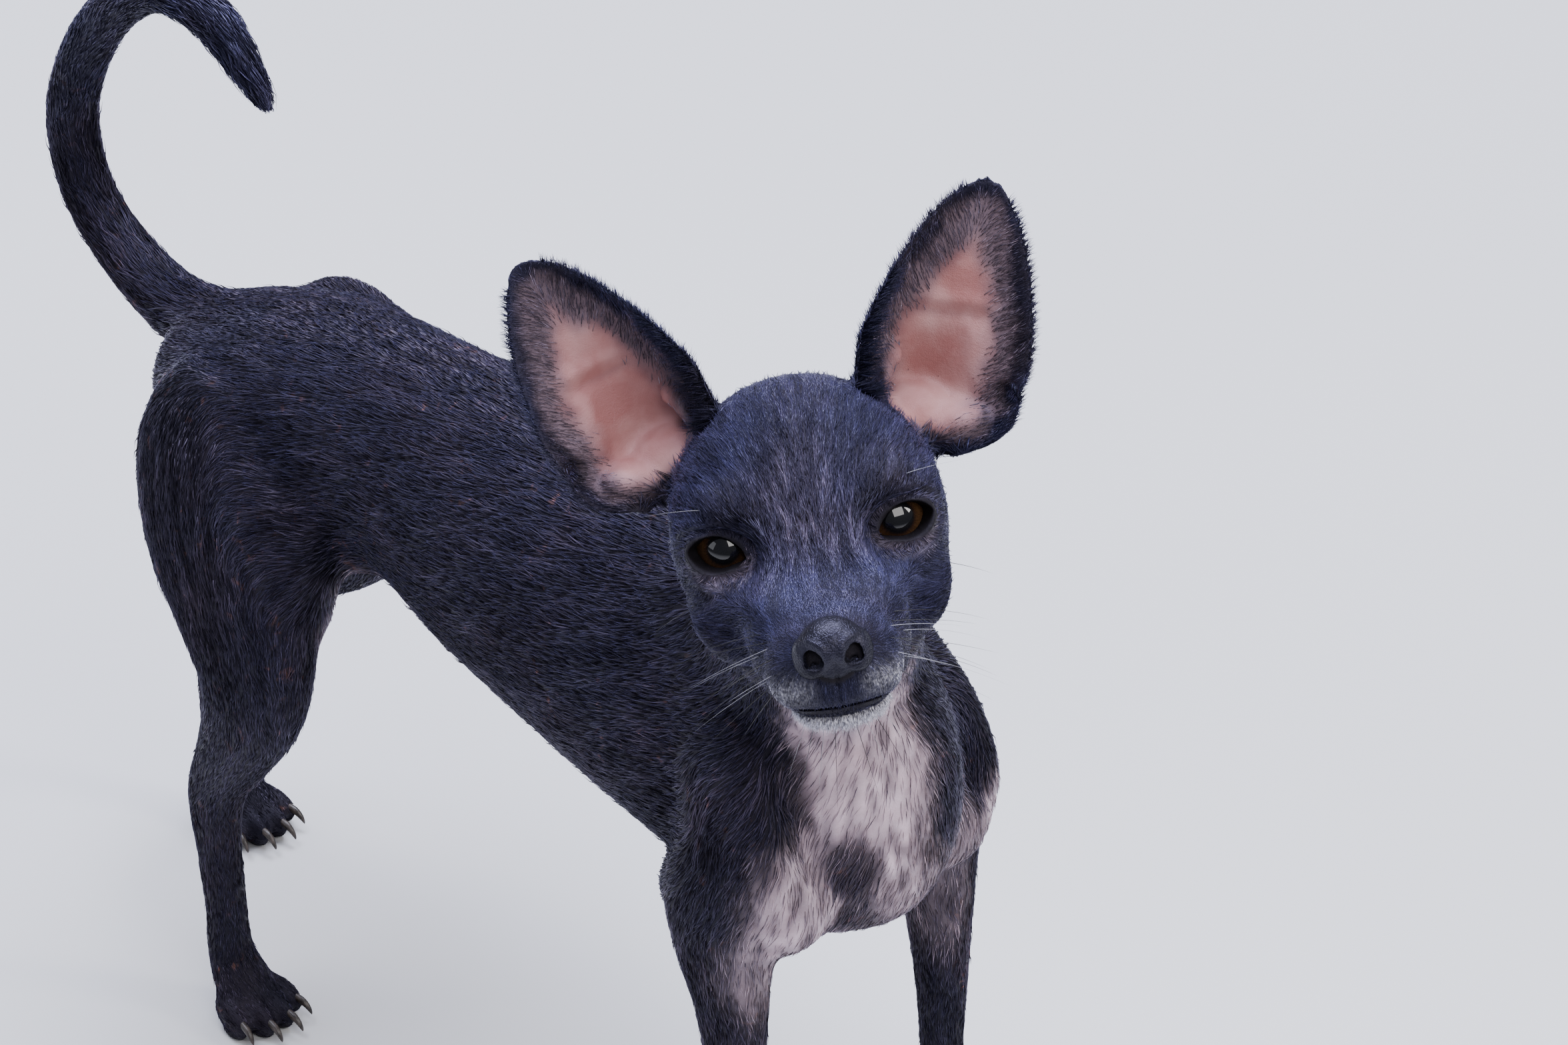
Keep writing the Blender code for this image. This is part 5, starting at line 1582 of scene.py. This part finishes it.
def whisker_mesh(name, lines, thick, finish, count_along=9):
    """Long thin hairs: three-sided, bent and drawn out to a point."""
    points, faces = [], []
    for start, way, length, sag in lines:
        way = unit(way)
        across = unit(np.cross(way, UPWARD + way * 0.1))
        rise = np.cross(across, way)
        first = len(points)
        for k in range(count_along):
            t = k / count_along
            spot = start + way * length * t - UPWARD * sag * length * t * t
            for angle in (0.0, 2.094, 4.189):
                radius = thick / 2 * (1 - t) ** 0.7
                points.append(spot + (across * math.cos(angle) + rise * math.sin(angle)) * radius)
        tip = len(points)
        points.append(start + way * length - UPWARD * sag * length)
        for k in range(count_along - 1):
            a = first + 3 * k
            for j in range(3):
                n = (j + 1) % 3
                faces.append((a + j, a + n, a + 3 + n, a + 3 + j))
        last = first + 3 * (count_along - 1)
        faces += [(last + j, last + (j + 1) % 3, tip) for j in range(3)]
        faces.append((first + 2, first + 1, first))
    mesh = bpy.data.meshes.new(name)
    mesh.from_pydata([tuple(point) for point in points], [], faces)
    piece = linked(name, mesh)
    face_outward(piece)
    give_finish(piece, finish)
    return piece


def whisker_lines(ground, draw):
    """Where the whiskers grow on the muzzle, brows, cheeks and chin, and where they point."""
    black, pale = [], []
    for side in SIDES:
        for row, level in enumerate((-0.0175, -0.0205, -0.0235)):
            for place in range(4):
                spot = (side * (0.0104 + 0.0006 * row), 0.0390 - 0.0042 * place, level + 0.0006 * place)
                way = (side * (0.75 + 0.15 * place + draw.normal(0, 0.08)), 0.32 - 0.30 * place,
                       -0.12 - 0.17 * row + draw.normal(0, 0.08))
                length = (0.013, 0.018, 0.023, 0.021)[place] * draw.uniform(0.8, 1.15)
                group = pale if (row + place) % 3 == 1 else black
                group.append((spot, way, length, draw.uniform(0.08, 0.25)))
        black.append(((side * 0.0155, 0.0060, 0.0105), (side * 0.5, 0.5, 0.75), 0.012, 0.1))
        pale.append(((side * 0.0215, 0.0030, 0.0095), (side * 0.9, 0.35, 0.20), 0.014, 0.1))
        black.append(((side * 0.0255, -0.0080, -0.0120), (side * 1.0, 0.25, -0.25), 0.011, 0.15))
        for place in range(4):
            spot = (side * (0.0022 + 0.0022 * place), 0.0385 - 0.0022 * place, -0.0335)
            way = (side * (0.15 + 0.12 * place), 0.30 - 0.22 * place, -1.0)
            (pale if place % 2 else black).append((spot, way, draw.uniform(0.011, 0.019), 0.05))
    axes = np.stack((HEAD_LEFT, HEAD_FORWARD, HEAD_UP))
    rooted = []
    for group in (black, pale):
        roots, normals = on_skin(np.array([head_point(*spot) for spot, _, _, _ in group]), ground)
        roots -= normals * 0.0004
        rooted.append([(root, np.array(way) @ axes, length, sag)
                       for root, (_, way, length, sag) in zip(roots, group)])
    return rooted


def make_eye(side, name, finish):
    """An eyeball with its pole on the line of sight and the cornea raised over it."""
    piece = named(round_ball(72, 56), name)
    ways = unit(points_of(piece))
    aside = np.hypot(ways[:, 0], ways[:, 1])
    cap = CORNEA_AHEAD * ways[:, 2] + np.sqrt(CORNEA_RADIUS ** 2 - (CORNEA_AHEAD * aside) ** 2)
    radius = (cap ** EYE_BLEND / 2 + EYE_RADIUS ** EYE_BLEND / 2) ** (1 / EYE_BLEND)
    sight = unit(GAZE + eye_axes(side)[1] * 0.9)
    across = unit(np.cross(HEAD_UP, sight))
    rise = np.cross(sight, across)
    turned_ways = np.outer(ways[:, 0], across) + np.outer(ways[:, 1], rise) + np.outer(ways[:, 2], sight)
    move_points(piece, eye_place(side) + turned_ways * radius[:, None])
    layer = piece.data.uv_layers.active
    layer.name = "eye"
    corner = np.empty(len(piece.data.loops), np.int32)
    piece.data.loops.foreach_get("vertex_index", corner)
    out = np.arccos(np.clip(ways[:, 2], -1, 1)) / math.pi / 2
    turn = np.arctan2(ways[:, 1], ways[:, 0])
    flat = 0.5 + np.stack((out * np.cos(turn), out * np.sin(turn)), axis=1)
    layer.data.foreach_set("uv", flat[corner].astype(np.float32).ravel())
    give_finish(piece, finish)
    return piece


def make_nose(finish):
    """The nose leather, with its comma nostrils and the groove between them."""
    forms = [head_ball(place, radii) for place, radii in NOSE_FORMS]
    nose = fuse(forms, "nose_leather", NOSE_VOXEL, 14)
    points = points_of(nose)
    left, forward, up = head_place(points)
    move = -hump(left, 0.0, 0.00042) * step_between(-up, 0.0162, 0.0188) * 0.00055
    for side in SIDES:
        across = left * side
        wing = np.hypot((across - 0.0050) / 0.0032, (up + 0.0172) / 0.0034)
        move += hump(wing, 1.05, 0.25) * 0.00042
    pebble = np.sin(left * 9000) * np.sin(up * 8200 + left * 3100) * np.sin(forward * 8800 - up * 2500)
    move += pebble * 0.000028
    move_points(nose, points + normals_of(nose) * move[:, None])
    for side in SIDES:
        for (across, ahead, level), radius in NOSTRIL:
            radii = [radius * stretch for stretch in NOSTRIL_STRETCH]
            cut(nose, [head_ball((side * across, ahead, level), radii, 3)])
    even_out(nose, NOSE_FINE_VOXEL, 3)
    thin_to(nose, NOSE_TRIANGLES)
    give_finish(nose, finish)
    return nose


def make_claws(name, finish):
    """The four claws of a paw, each a curved horn that narrows to its point."""
    place, size, _, _ = PAWS[name]
    claws = []
    for across, ahead in TOES:
        root = np.array((place[0] + across * size, place[1] - ahead * size, 0.0))
        turn = np.array(Matrix.Rotation(toe_lean(across), 3, "Z"))
        rings = []
        for reach, level, thick in curve_through(CLAW_STATIONS, 3):
            angle = round_angles(CLAW_SIDES)
            narrow = np.where(np.sin(angle) < 0, *CLAW_NARROW)
            ring = np.stack((np.cos(angle) * thick * narrow, np.full(CLAW_SIDES, -reach),
                             level + np.sin(angle) * thick), axis=1) * size
            rings.append(root + ring @ turn.T)
        claws.append(laid_ball(rings))
    piece = join(claws, name + "_claws")
    give_finish(piece, finish)
    return piece


# Materials

def add(tree, kind, sockets=None, **settings):
    """A node, its settings, and its sockets set to a value or linked to another's output."""
    item = tree.nodes.new(kind)
    for name, value in settings.items():
        setattr(item, name, value)
    for key, value in (sockets or {}).items():
        if isinstance(value, bpy.types.NodeSocket):
            tree.links.new(value, item.inputs[key])
        else:
            item.inputs[key].default_value = value
    return item


def colour(red, green, blue):
    return (red, green, blue, 1.0)


def maths(tree, operation, a, b=0.0):
    return add(tree, "ShaderNodeMath", {0: a, 1: b}, operation=operation).outputs[0]


def scale_by(tree, vector, strength):
    return add(tree, "ShaderNodeVectorMath", {0: vector, 3: strength}, operation="SCALE").outputs[0]


def spread(tree, value, low, high, to_low=0.0, to_high=1.0):
    """A value's range from low to high, stretched to a new one."""
    return add(tree, "ShaderNodeMapRange", {"Value": value, "From Min": low, "From Max": high,
                                            "To Min": to_low, "To Max": to_high}).outputs[0]


def mixed(tree, share, a, b):
    return add(tree, "ShaderNodeMix", {0: share, 6: a, 7: b}, data_type="RGBA").outputs[2]


def noise(tree, place, scale, detail=2.0, roughness=0.5, distortion=0.0):
    return add(tree, "ShaderNodeTexNoise", {"Vector": place, "Scale": scale, "Detail": detail,
                                            "Roughness": roughness, "Distortion": distortion}).outputs[0]


def object_place(tree):
    return add(tree, "ShaderNodeTexCoord").outputs["Object"]


def height_of(tree, place):
    return add(tree, "ShaderNodeSeparateXYZ", {0: place}).outputs[2]


def feed(tree, shader, **values):
    """Link values to the shader's sockets of those names."""
    for key, value in values.items():
        tree.links.new(value, shader.inputs[key.replace("_", " ")])


def grain_bump(tree, shader, skin_grain, scale, strength, distance):
    """Raise the surface by the skin's grain."""
    grain = add(tree, "ShaderNodeGroup", {"Scale": scale}, node_tree=skin_grain)
    bump = add(tree, "ShaderNodeBump", {"Strength": strength, "Distance": distance,
                                        "Height": grain.outputs[0]})
    feed(tree, shader, Normal=bump.outputs[0])


def new_group(name, inputs, outputs):
    tree = bpy.data.node_groups.new(name, "ShaderNodeTree")
    for socket, kind in inputs:
        tree.interface.new_socket(name=socket, in_out="INPUT", socket_type="NodeSocket" + kind)
    for socket, kind in outputs:
        tree.interface.new_socket(name=socket, in_out="OUTPUT", socket_type="NodeSocket" + kind)
    return tree, tree.nodes.new("NodeGroupInput"), tree.nodes.new("NodeGroupOutput")


def coat_colour_group():
    """Near-black coat, bluer and lighter on the head as painted sky light, browner in patches, flecked with
    red-brown, paler where it is grey or thin.
    """
    tree, given, result = new_group("coat colour", (("Thin", "Float"), ("Ear", "Float"), ("Grey", "Float")),
                                    (("Colour", "Color"),))
    place = object_place(tree)
    patches = spread(tree, noise(tree, place, 42.0, 3.0), 0.42, 0.66)
    # Painted sky light: above the shoulders the black turns bluer and lighter, like a head lit from the sky.
    body = spread(tree, height_of(tree, place), 0.235, 0.190)
    black_with_painted_sky = mixed(tree, body, colour(0.0080, 0.0082, 0.0220), colour(0.0052, 0.0052, 0.0095))
    base = mixed(tree, patches, black_with_painted_sky, colour(0.0125, 0.0092, 0.0135))
    streaks = spread(tree, noise(tree, place, 330.0, 2.0, 0.6, 0.8), 0.61, 0.72)
    banks = spread(tree, noise(tree, place, 75.0, 1.0), 0.46, 0.60)
    fleck = maths(tree, "MULTIPLY", maths(tree, "MULTIPLY", streaks, banks), body)
    base = mixed(tree, maths(tree, "MULTIPLY", fleck, 0.85), base, colour(0.075, 0.034, 0.024))
    base = mixed(tree, given.outputs["Thin"], base, colour(0.380, 0.290, 0.320))
    base = mixed(tree, given.outputs["Ear"], base, colour(0.185, 0.135, 0.155))
    speckle = spread(tree, noise(tree, place, 1500.0, 1.0), 0.36, 0.62, 0.25, 1.0)
    grey = maths(tree, "MULTIPLY", given.outputs["Grey"], speckle)
    base = mixed(tree, grey, base, colour(0.90, 0.89, 0.97))
    tree.links.new(base, result.inputs["Colour"])
    return tree


def skin_grain_group():
    """Pores and fine creases, as a height."""
    tree, given, result = new_group("skin grain", (("Scale", "Float"),), (("Height", "Float"),))
    scaled = scale_by(tree, object_place(tree), given.outputs["Scale"])
    cells = add(tree, "ShaderNodeTexVoronoi", {"Vector": scaled, "Scale": 2400.0}, feature="DISTANCE_TO_EDGE")
    creases = spread(tree, cells.outputs[0], 0.0, 0.18)
    pores = spread(tree, noise(tree, scaled, 1500.0, 3.0, 0.6), 0.35, 0.60)
    creases = maths(tree, "MULTIPLY", creases, 0.5)
    height = maths(tree, "ADD", creases, maths(tree, "MULTIPLY", pores, 0.6))
    tree.links.new(height, result.inputs["Height"])
    return tree


def new_material(name, **values):
    material = bpy.data.materials.new(name)
    material.use_nodes = True
    tree = material.node_tree
    shader = tree.nodes["Principled BSDF"]
    for key, value in values.items():
        shader.inputs[key.replace("_", " ")].default_value = value
    return material, tree, shader


def read_marks(tree):
    attribute = add(tree, "ShaderNodeAttribute", attribute_name="marks")
    parts = add(tree, "ShaderNodeSeparateColor", {0: attribute.outputs["Color"]}).outputs
    return parts[0], parts[1], parts[2], attribute.outputs["Alpha"]


def fur_material(coat_colour):
    """Glossy short hair: each tuft has its own depth of black and its own gloss, and a paler tip. The
    lightest tufts, in streaks and on the muzzle's top, are partly painted highlight, and the sheen and
    reflections are tinted blue-violet, bluer on the head, as painted sky light.
    """
    material, tree, shader = new_material("black_coat", Sheen_Weight=0.13, Sheen_Roughness=0.35,
                                          Specular_IOR_Level=0.95)
    # Painted sky light: the sheen is tinted blue.
    shader.inputs["Sheen Tint"].default_value = colour(0.48, 0.46, 1.0)
    thin, ear, grey, dark = read_marks(tree)
    strand = add(tree, "ShaderNodeAttribute", attribute_name="strand")
    parts = add(tree, "ShaderNodeSeparateColor", {0: strand.outputs["Color"]}).outputs
    group = add(tree, "ShaderNodeGroup", {"Thin": thin, "Ear": ear, "Grey": grey}, node_tree=coat_colour)
    # Partly painted highlight: a high tone, raised along the streaks and on the muzzle's top, lightens a
    # tuft's colour several times over.
    streak = spread(tree, maths(tree, "POWER", parts[0], 3.0), 0.0, 1.0, 0.40, 5.5)
    patch = spread(tree, parts[0], 0.0, 1.0, 0.75, 1.25)
    light = maths(tree, "MAXIMUM", maths(tree, "MAXIMUM", thin, ear), grey)
    depth = add(tree, "ShaderNodeMix", {0: light, 2: streak, 3: patch}, data_type="FLOAT").outputs[0]
    depth = maths(tree, "MULTIPLY", depth, spread(tree, dark, 0.0, 0.5, 1.0, 0.35))
    tip = spread(tree, parts[1], 0.2, 1.0, 0.75, 1.35)
    strength = maths(tree, "MULTIPLY", depth, tip)
    # Painted sky light: the reflections are tinted blue-violet, bluer on the head than on the body.
    body = spread(tree, height_of(tree, object_place(tree)), 0.250, 0.190)
    gleam = mixed(tree, body, colour(0.60, 0.61, 1.0), colour(0.55, 0.48, 0.70))
    shine = maths(tree, "MULTIPLY", spread(tree, parts[0], 0.05, 0.90, 0.16, 1.0),
                  spread(tree, dark, 0.0, 0.5, 1.0, 0.22))
    rough = spread(tree, parts[0], 0.0, 1.0, 0.50, 0.32)
    rough = maths(tree, "ADD", rough, maths(tree, "MULTIPLY", body, 0.08))
    feed(tree, shader, Base_Color=scale_by(tree, group.outputs[0], strength),
         Specular_Tint=scale_by(tree, gleam, shine), Roughness=rough)
    return material


def skin_material(coat_colour, skin_grain):
    """Skin that is dark below the coat, mauve where the coat is thin, and salmon in the ears."""
    material, tree, shader = new_material("skin", Specular_IOR_Level=0.20)
    # Painted sky light: the skin's reflections are tinted blue-violet, like the coat's.
    shader.inputs["Specular Tint"].default_value = colour(0.80, 0.76, 1.0)
    thin, ear, grey, dark = read_marks(tree)
    place = object_place(tree)
    group = add(tree, "ShaderNodeGroup", {"Thin": 0.0, "Ear": 0.0, "Grey": grey}, node_tree=coat_colour)
    mottle = spread(tree, noise(tree, place, 160.0, 4.0, 0.6), 0.30, 0.72)
    pale = mixed(tree, mottle, colour(0.520, 0.380, 0.430), colour(0.780, 0.620, 0.700))
    base = mixed(tree, maths(tree, "POWER", thin, 1.8), group.outputs[0], pale)
    flush = spread(tree, noise(tree, place, 95.0, 3.0), 0.35, 0.68)
    cooler = maths(tree, "MULTIPLY", flush, spread(tree, thin, 0.0, 1.0, 1.0, 0.25))
    salmon = mixed(tree, cooler, colour(0.350, 0.145, 0.135), colour(0.510, 0.285, 0.275))
    mauve = mixed(tree, flush, colour(0.085, 0.058, 0.070), colour(0.150, 0.105, 0.125))
    lining = mixed(tree, spread(tree, ear, 0.42, 1.0), mauve, salmon)
    base = mixed(tree, spread(tree, ear, 0.0, 0.42), base, lining)
    base = mixed(tree, dark, base, colour(0.0060, 0.0050, 0.0060))
    rough = spread(tree, noise(tree, place, 420.0, 3.0), 0.3, 0.7, 0.40, 0.58)
    dry = maths(tree, "ADD", rough, maths(tree, "MULTIPLY", dark, 0.14))
    moist = maths(tree, "SUBTRACT", dry, maths(tree, "MULTIPLY", ear, 0.12))
    feed(tree, shader, Base_Color=base, Roughness=moist)
    grain_bump(tree, shader, skin_grain, 1.0, 0.35, 0.00018)
    return material


def eye_material():
    """An amber-brown iris with fine spokes and a dark ring, round a black pupil, all wet."""
    material, tree, shader = new_material("eye", Roughness=0.45, Coat_Weight=1.0, Coat_Roughness=0.02,
                                          Coat_IOR=1.62, Specular_IOR_Level=0.05)
    flat = add(tree, "ShaderNodeUVMap", uv_map="eye").outputs[0]
    away = add(tree, "ShaderNodeVectorMath", {0: flat, 1: (0.5, 0.5, 0.0)}, operation="SUBTRACT").outputs[0]
    reach = add(tree, "ShaderNodeVectorMath", {0: away}, operation="LENGTH").outputs["Value"]
    way = add(tree, "ShaderNodeVectorMath", {0: away}, operation="NORMALIZE").outputs[0]
    spokes = noise(tree, add(tree, "ShaderNodeVectorMath", {0: way, 1: away}, operation="ADD").outputs[0],
                   26.0, 3.0, 0.65)
    wobble = maths(tree, "MULTIPLY", maths(tree, "SUBTRACT", spokes, 0.5), 0.012)
    shifted = maths(tree, "ADD", reach, wobble)
    ramp = add(tree, "ShaderNodeValToRGB", {0: shifted})
    pupil = math.asin(PUPIL_RADIUS / EYE_RADIUS) / math.pi / 2
    iris = math.asin(IRIS_RADIUS / EYE_RADIUS) / math.pi / 2
    stops = ((0.0, (0.002, 0.002, 0.003)), (pupil * 0.93, (0.002, 0.002, 0.003)),
             (pupil * 1.12, (0.030, 0.014, 0.007)), (pupil * 1.45, (0.078, 0.038, 0.016)),
             (iris * 0.84, (0.110, 0.054, 0.024)), (iris * 0.97, (0.040, 0.016, 0.008)),
             (iris * 1.10, (0.012, 0.007, 0.007)), (1.0, (0.030, 0.016, 0.016)))
    elements = ramp.color_ramp.elements
    for number, (position, shade) in enumerate(stops):
        stop = elements[number] if number < 2 else elements.new(position)
        stop.position = position
        stop.color = colour(*shade)
    light = spread(tree, spokes, 0.3, 0.7, 0.55, 1.45)
    feed(tree, shader, Base_Color=scale_by(tree, ramp.outputs[0], light))
    return material


def nose_material(skin_grain):
    """Moist slate leather, finely pebbled. Its reflections are tinted blue as painted sky light, and they
    weaken toward the bottom as painted shade under the nose.
    """
    material, tree, shader = new_material("nose_leather", Specular_IOR_Level=0.36, Coat_Weight=0.06,
                                          Coat_Roughness=0.22)
    place = object_place(tree)
    # Painted shade: the reflections weaken from the top of the nose down to its underside.
    low, high = (corner[2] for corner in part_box("nose"))
    shine = spread(tree, height_of(tree, place), low + (high - low) * 0.15, low + (high - low) * 0.70,
                   0.22, 1.05)
    mottle = spread(tree, noise(tree, place, 260.0, 3.0), 0.3, 0.7)
    base = mixed(tree, mottle, colour(0.005, 0.005, 0.007), colour(0.010, 0.010, 0.016))
    # Painted sky light: the reflections are tinted blue.
    feed(tree, shader, Base_Color=base, Roughness=spread(tree, mottle, 0.0, 1.0, 0.30, 0.38),
         Specular_Tint=scale_by(tree, (0.65, 0.63, 1.0), shine))
    grain_bump(tree, shader, skin_grain, 0.55, 0.5, 0.00022)
    return material


def claw_material():
    """Dark horn, streaked along its length."""
    material, tree, shader = new_material("claw_horn", Specular_IOR_Level=0.5, Coat_Weight=0.15,
                                          Coat_Roughness=0.25)
    place = object_place(tree)
    grown = add(tree, "ShaderNodeMapping", {"Vector": place, "Scale": (1.0, 0.25, 0.6)}).outputs[0]
    streak = spread(tree, noise(tree, grown, 1600.0, 3.0), 0.35, 0.68)
    base = mixed(tree, streak, colour(0.016, 0.013, 0.012), colour(0.065, 0.050, 0.042))
    feed(tree, shader, Base_Color=base, Roughness=spread(tree, streak, 0.0, 1.0, 0.30, 0.48))
    return material


def whisker_material(name, shade):
    material, tree, shader = new_material(name, Specular_IOR_Level=0.6)
    vary = spread(tree, noise(tree, object_place(tree), 300.0, 2.0), 0.3, 0.7, 0.7, 1.3)
    feed(tree, shader, Base_Color=scale_by(tree, shade, vary),
         Roughness=spread(tree, vary, 0.7, 1.3, 0.40, 0.30))
    return material


def floor_material():
    material, tree, shader = new_material("pale_floor", Roughness=0.85, Specular_IOR_Level=0.2)
    vary = spread(tree, noise(tree, object_place(tree), 2.0, 2.0), 0.3, 0.7)
    shade = mixed(tree, vary, colour(0.70, 0.71, 0.72), colour(0.74, 0.75, 0.76))
    feed(tree, shader, Base_Color=shade)
    return material


# Camera, floor and light

CAMERA_TURN = math.radians(-43.0)
CAMERA_RISE = math.radians(33.0)
CAMERA_AIM = np.array((-0.04346, -0.12179, 0.24435))
CAMERA_DISTANCE = 1.60
CAMERA_LENS = 175.0


def set_on_frame(piece):
    """Move a finished mesh from the dog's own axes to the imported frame, and lay it on the floor."""
    points = points_of(piece) + SET
    points[:, 2] = np.maximum(points[:, 2], 0.0)
    move_points(piece, points)


def way_at(turn, rise):
    """A level way turned from the dog's front to its left, and then raised."""
    return np.array((math.sin(turn) * math.cos(rise), -math.cos(turn) * math.cos(rise), math.sin(rise)))


def add_camera():
    back = way_at(CAMERA_TURN, CAMERA_RISE)
    data = bpy.data.cameras.new("camera")
    data.lens = CAMERA_LENS
    data.sensor_width = 36.0
    data.clip_start = 0.01
    camera = linked("camera", data)
    camera.location = Vector(CAMERA_AIM + SET + back * CAMERA_DISTANCE)
    camera.rotation_euler = Vector(-back).to_track_quat("-Z", "Y").to_euler()
    bpy.context.scene.camera = camera


def add_floor():
    bpy.ops.object.select_all(action="DESELECT")
    bpy.ops.mesh.primitive_plane_add(size=8.0, location=(0.0, 0.0, 0.0))
    floor = bpy.context.object
    floor.name = "floor"
    floor.data.materials.append(floor_material())


FACE_SPOT = (-0.025, -0.134, 0.247)
BODY_SPOT = (0.0, 0.0, 0.15)
# Soft boxes: name, spot each lights, its turn and rise from there, distance, size, power, tint
LAMPS = (
    ("sky", BODY_SPOT, 150.0, 74.0, 1.7, (1.9, 1.4), 92.0, (0.82, 0.84, 1.0)),
    ("key", FACE_SPOT, -14.0, 45.0, 1.5, (1.10, 0.80), 16.0, (1.0, 0.97, 0.96)),
    ("key_side", FACE_SPOT, 38.0, 34.0, 1.5, (0.35, 0.60), 9.0, (1.0, 0.96, 0.93)),
    ("fill", BODY_SPOT, -115.0, 20.0, 1.9, (1.5, 0.9), 6.0, (0.90, 0.92, 1.0)),
)


def add_lights():
    for name, aim, turn, rise, distance, size, power, tint in LAMPS:
        way = Vector(way_at(math.radians(turn), math.radians(rise)))
        data = bpy.data.lights.new(name, "AREA")
        data.shape = "RECTANGLE"
        data.size, data.size_y = size
        data.energy = power
        data.color = tint
        lamp = linked(name, data)
        lamp.location = Vector(aim) + way * distance
        lamp.rotation_euler = way.to_track_quat("Z", "Y").to_euler()
    world = bpy.data.worlds.new("studio")
    world.use_nodes = True
    shade = world.node_tree.nodes["Background"]
    shade.inputs["Color"].default_value = colour(0.80, 0.84, 1.0)
    shade.inputs["Strength"].default_value = 0.20
    bpy.context.scene.world = world


# The dog, piece by piece

def settle(piece, slot, *nodes):
    """Set a finished piece on the frame, and say what it rides and replaces; its slot, for what it is made
    of, is not used.
    """
    set_on_frame(piece)
    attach(piece, "root")
    if nodes:
        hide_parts(*nodes)


# How far every piece moves from the dog's own axes to the frame's
eye_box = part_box("eye_left")
SET = np.array((eye_box[0] + eye_box[1]) / 2) - eye_place(1.0)

add_camera()
add_floor()
add_lights()

coat_colour = coat_colour_group()
skin_grain = skin_grain_group()
fur = fur_material(coat_colour)
dog_skin = skin_material(coat_colour, skin_grain)
draw = np.random.default_rng(290)

skin = shape_skin()
give_finish(skin, dog_skin)
groups, ground = lay_coat(skin)
ear_edge_hair(groups, ground, draw)
lip_fringe(groups, ground, draw)

points, normals = points_of(skin), normals_of(skin)
write_marks(skin.data, marks(points, normals, describe(points, normals)))
flesh = [name for name in frame["nodes"]
         if not name.startswith("eye") and "claw" not in name and name != "nose"]
settle(skin, "coat", *flesh)

for name in sorted(groups):
    settle(hair_mesh(name, groups[name], fur), "ear" if "ear" in name else "coat")

black, pale = whisker_lines(ground, draw)
for name, lines, thick, shade in (("whiskers_black", black, 0.00020, (0.008, 0.007, 0.008)),
                                  ("whiskers_pale", pale, 0.00013, (0.34, 0.34, 0.38))):
    settle(whisker_mesh(name, lines, thick, whisker_material(name, shade)), "coat")

eye_finish = eye_material()
for side, name in ((1.0, "eye_left"), (-1.0, "eye_right")):
    settle(make_eye(side, name + "_ball", eye_finish), "eye", name)

settle(make_nose(nose_material(skin_grain)), "nose_leather", "nose")

claw_finish = claw_material()
for name in PAWS:
    claws = [f"{name}_claw_{number}" for number in (1, 2, 3, 4)]
    settle(make_claws(name, claw_finish), "claw_horn", *claws)
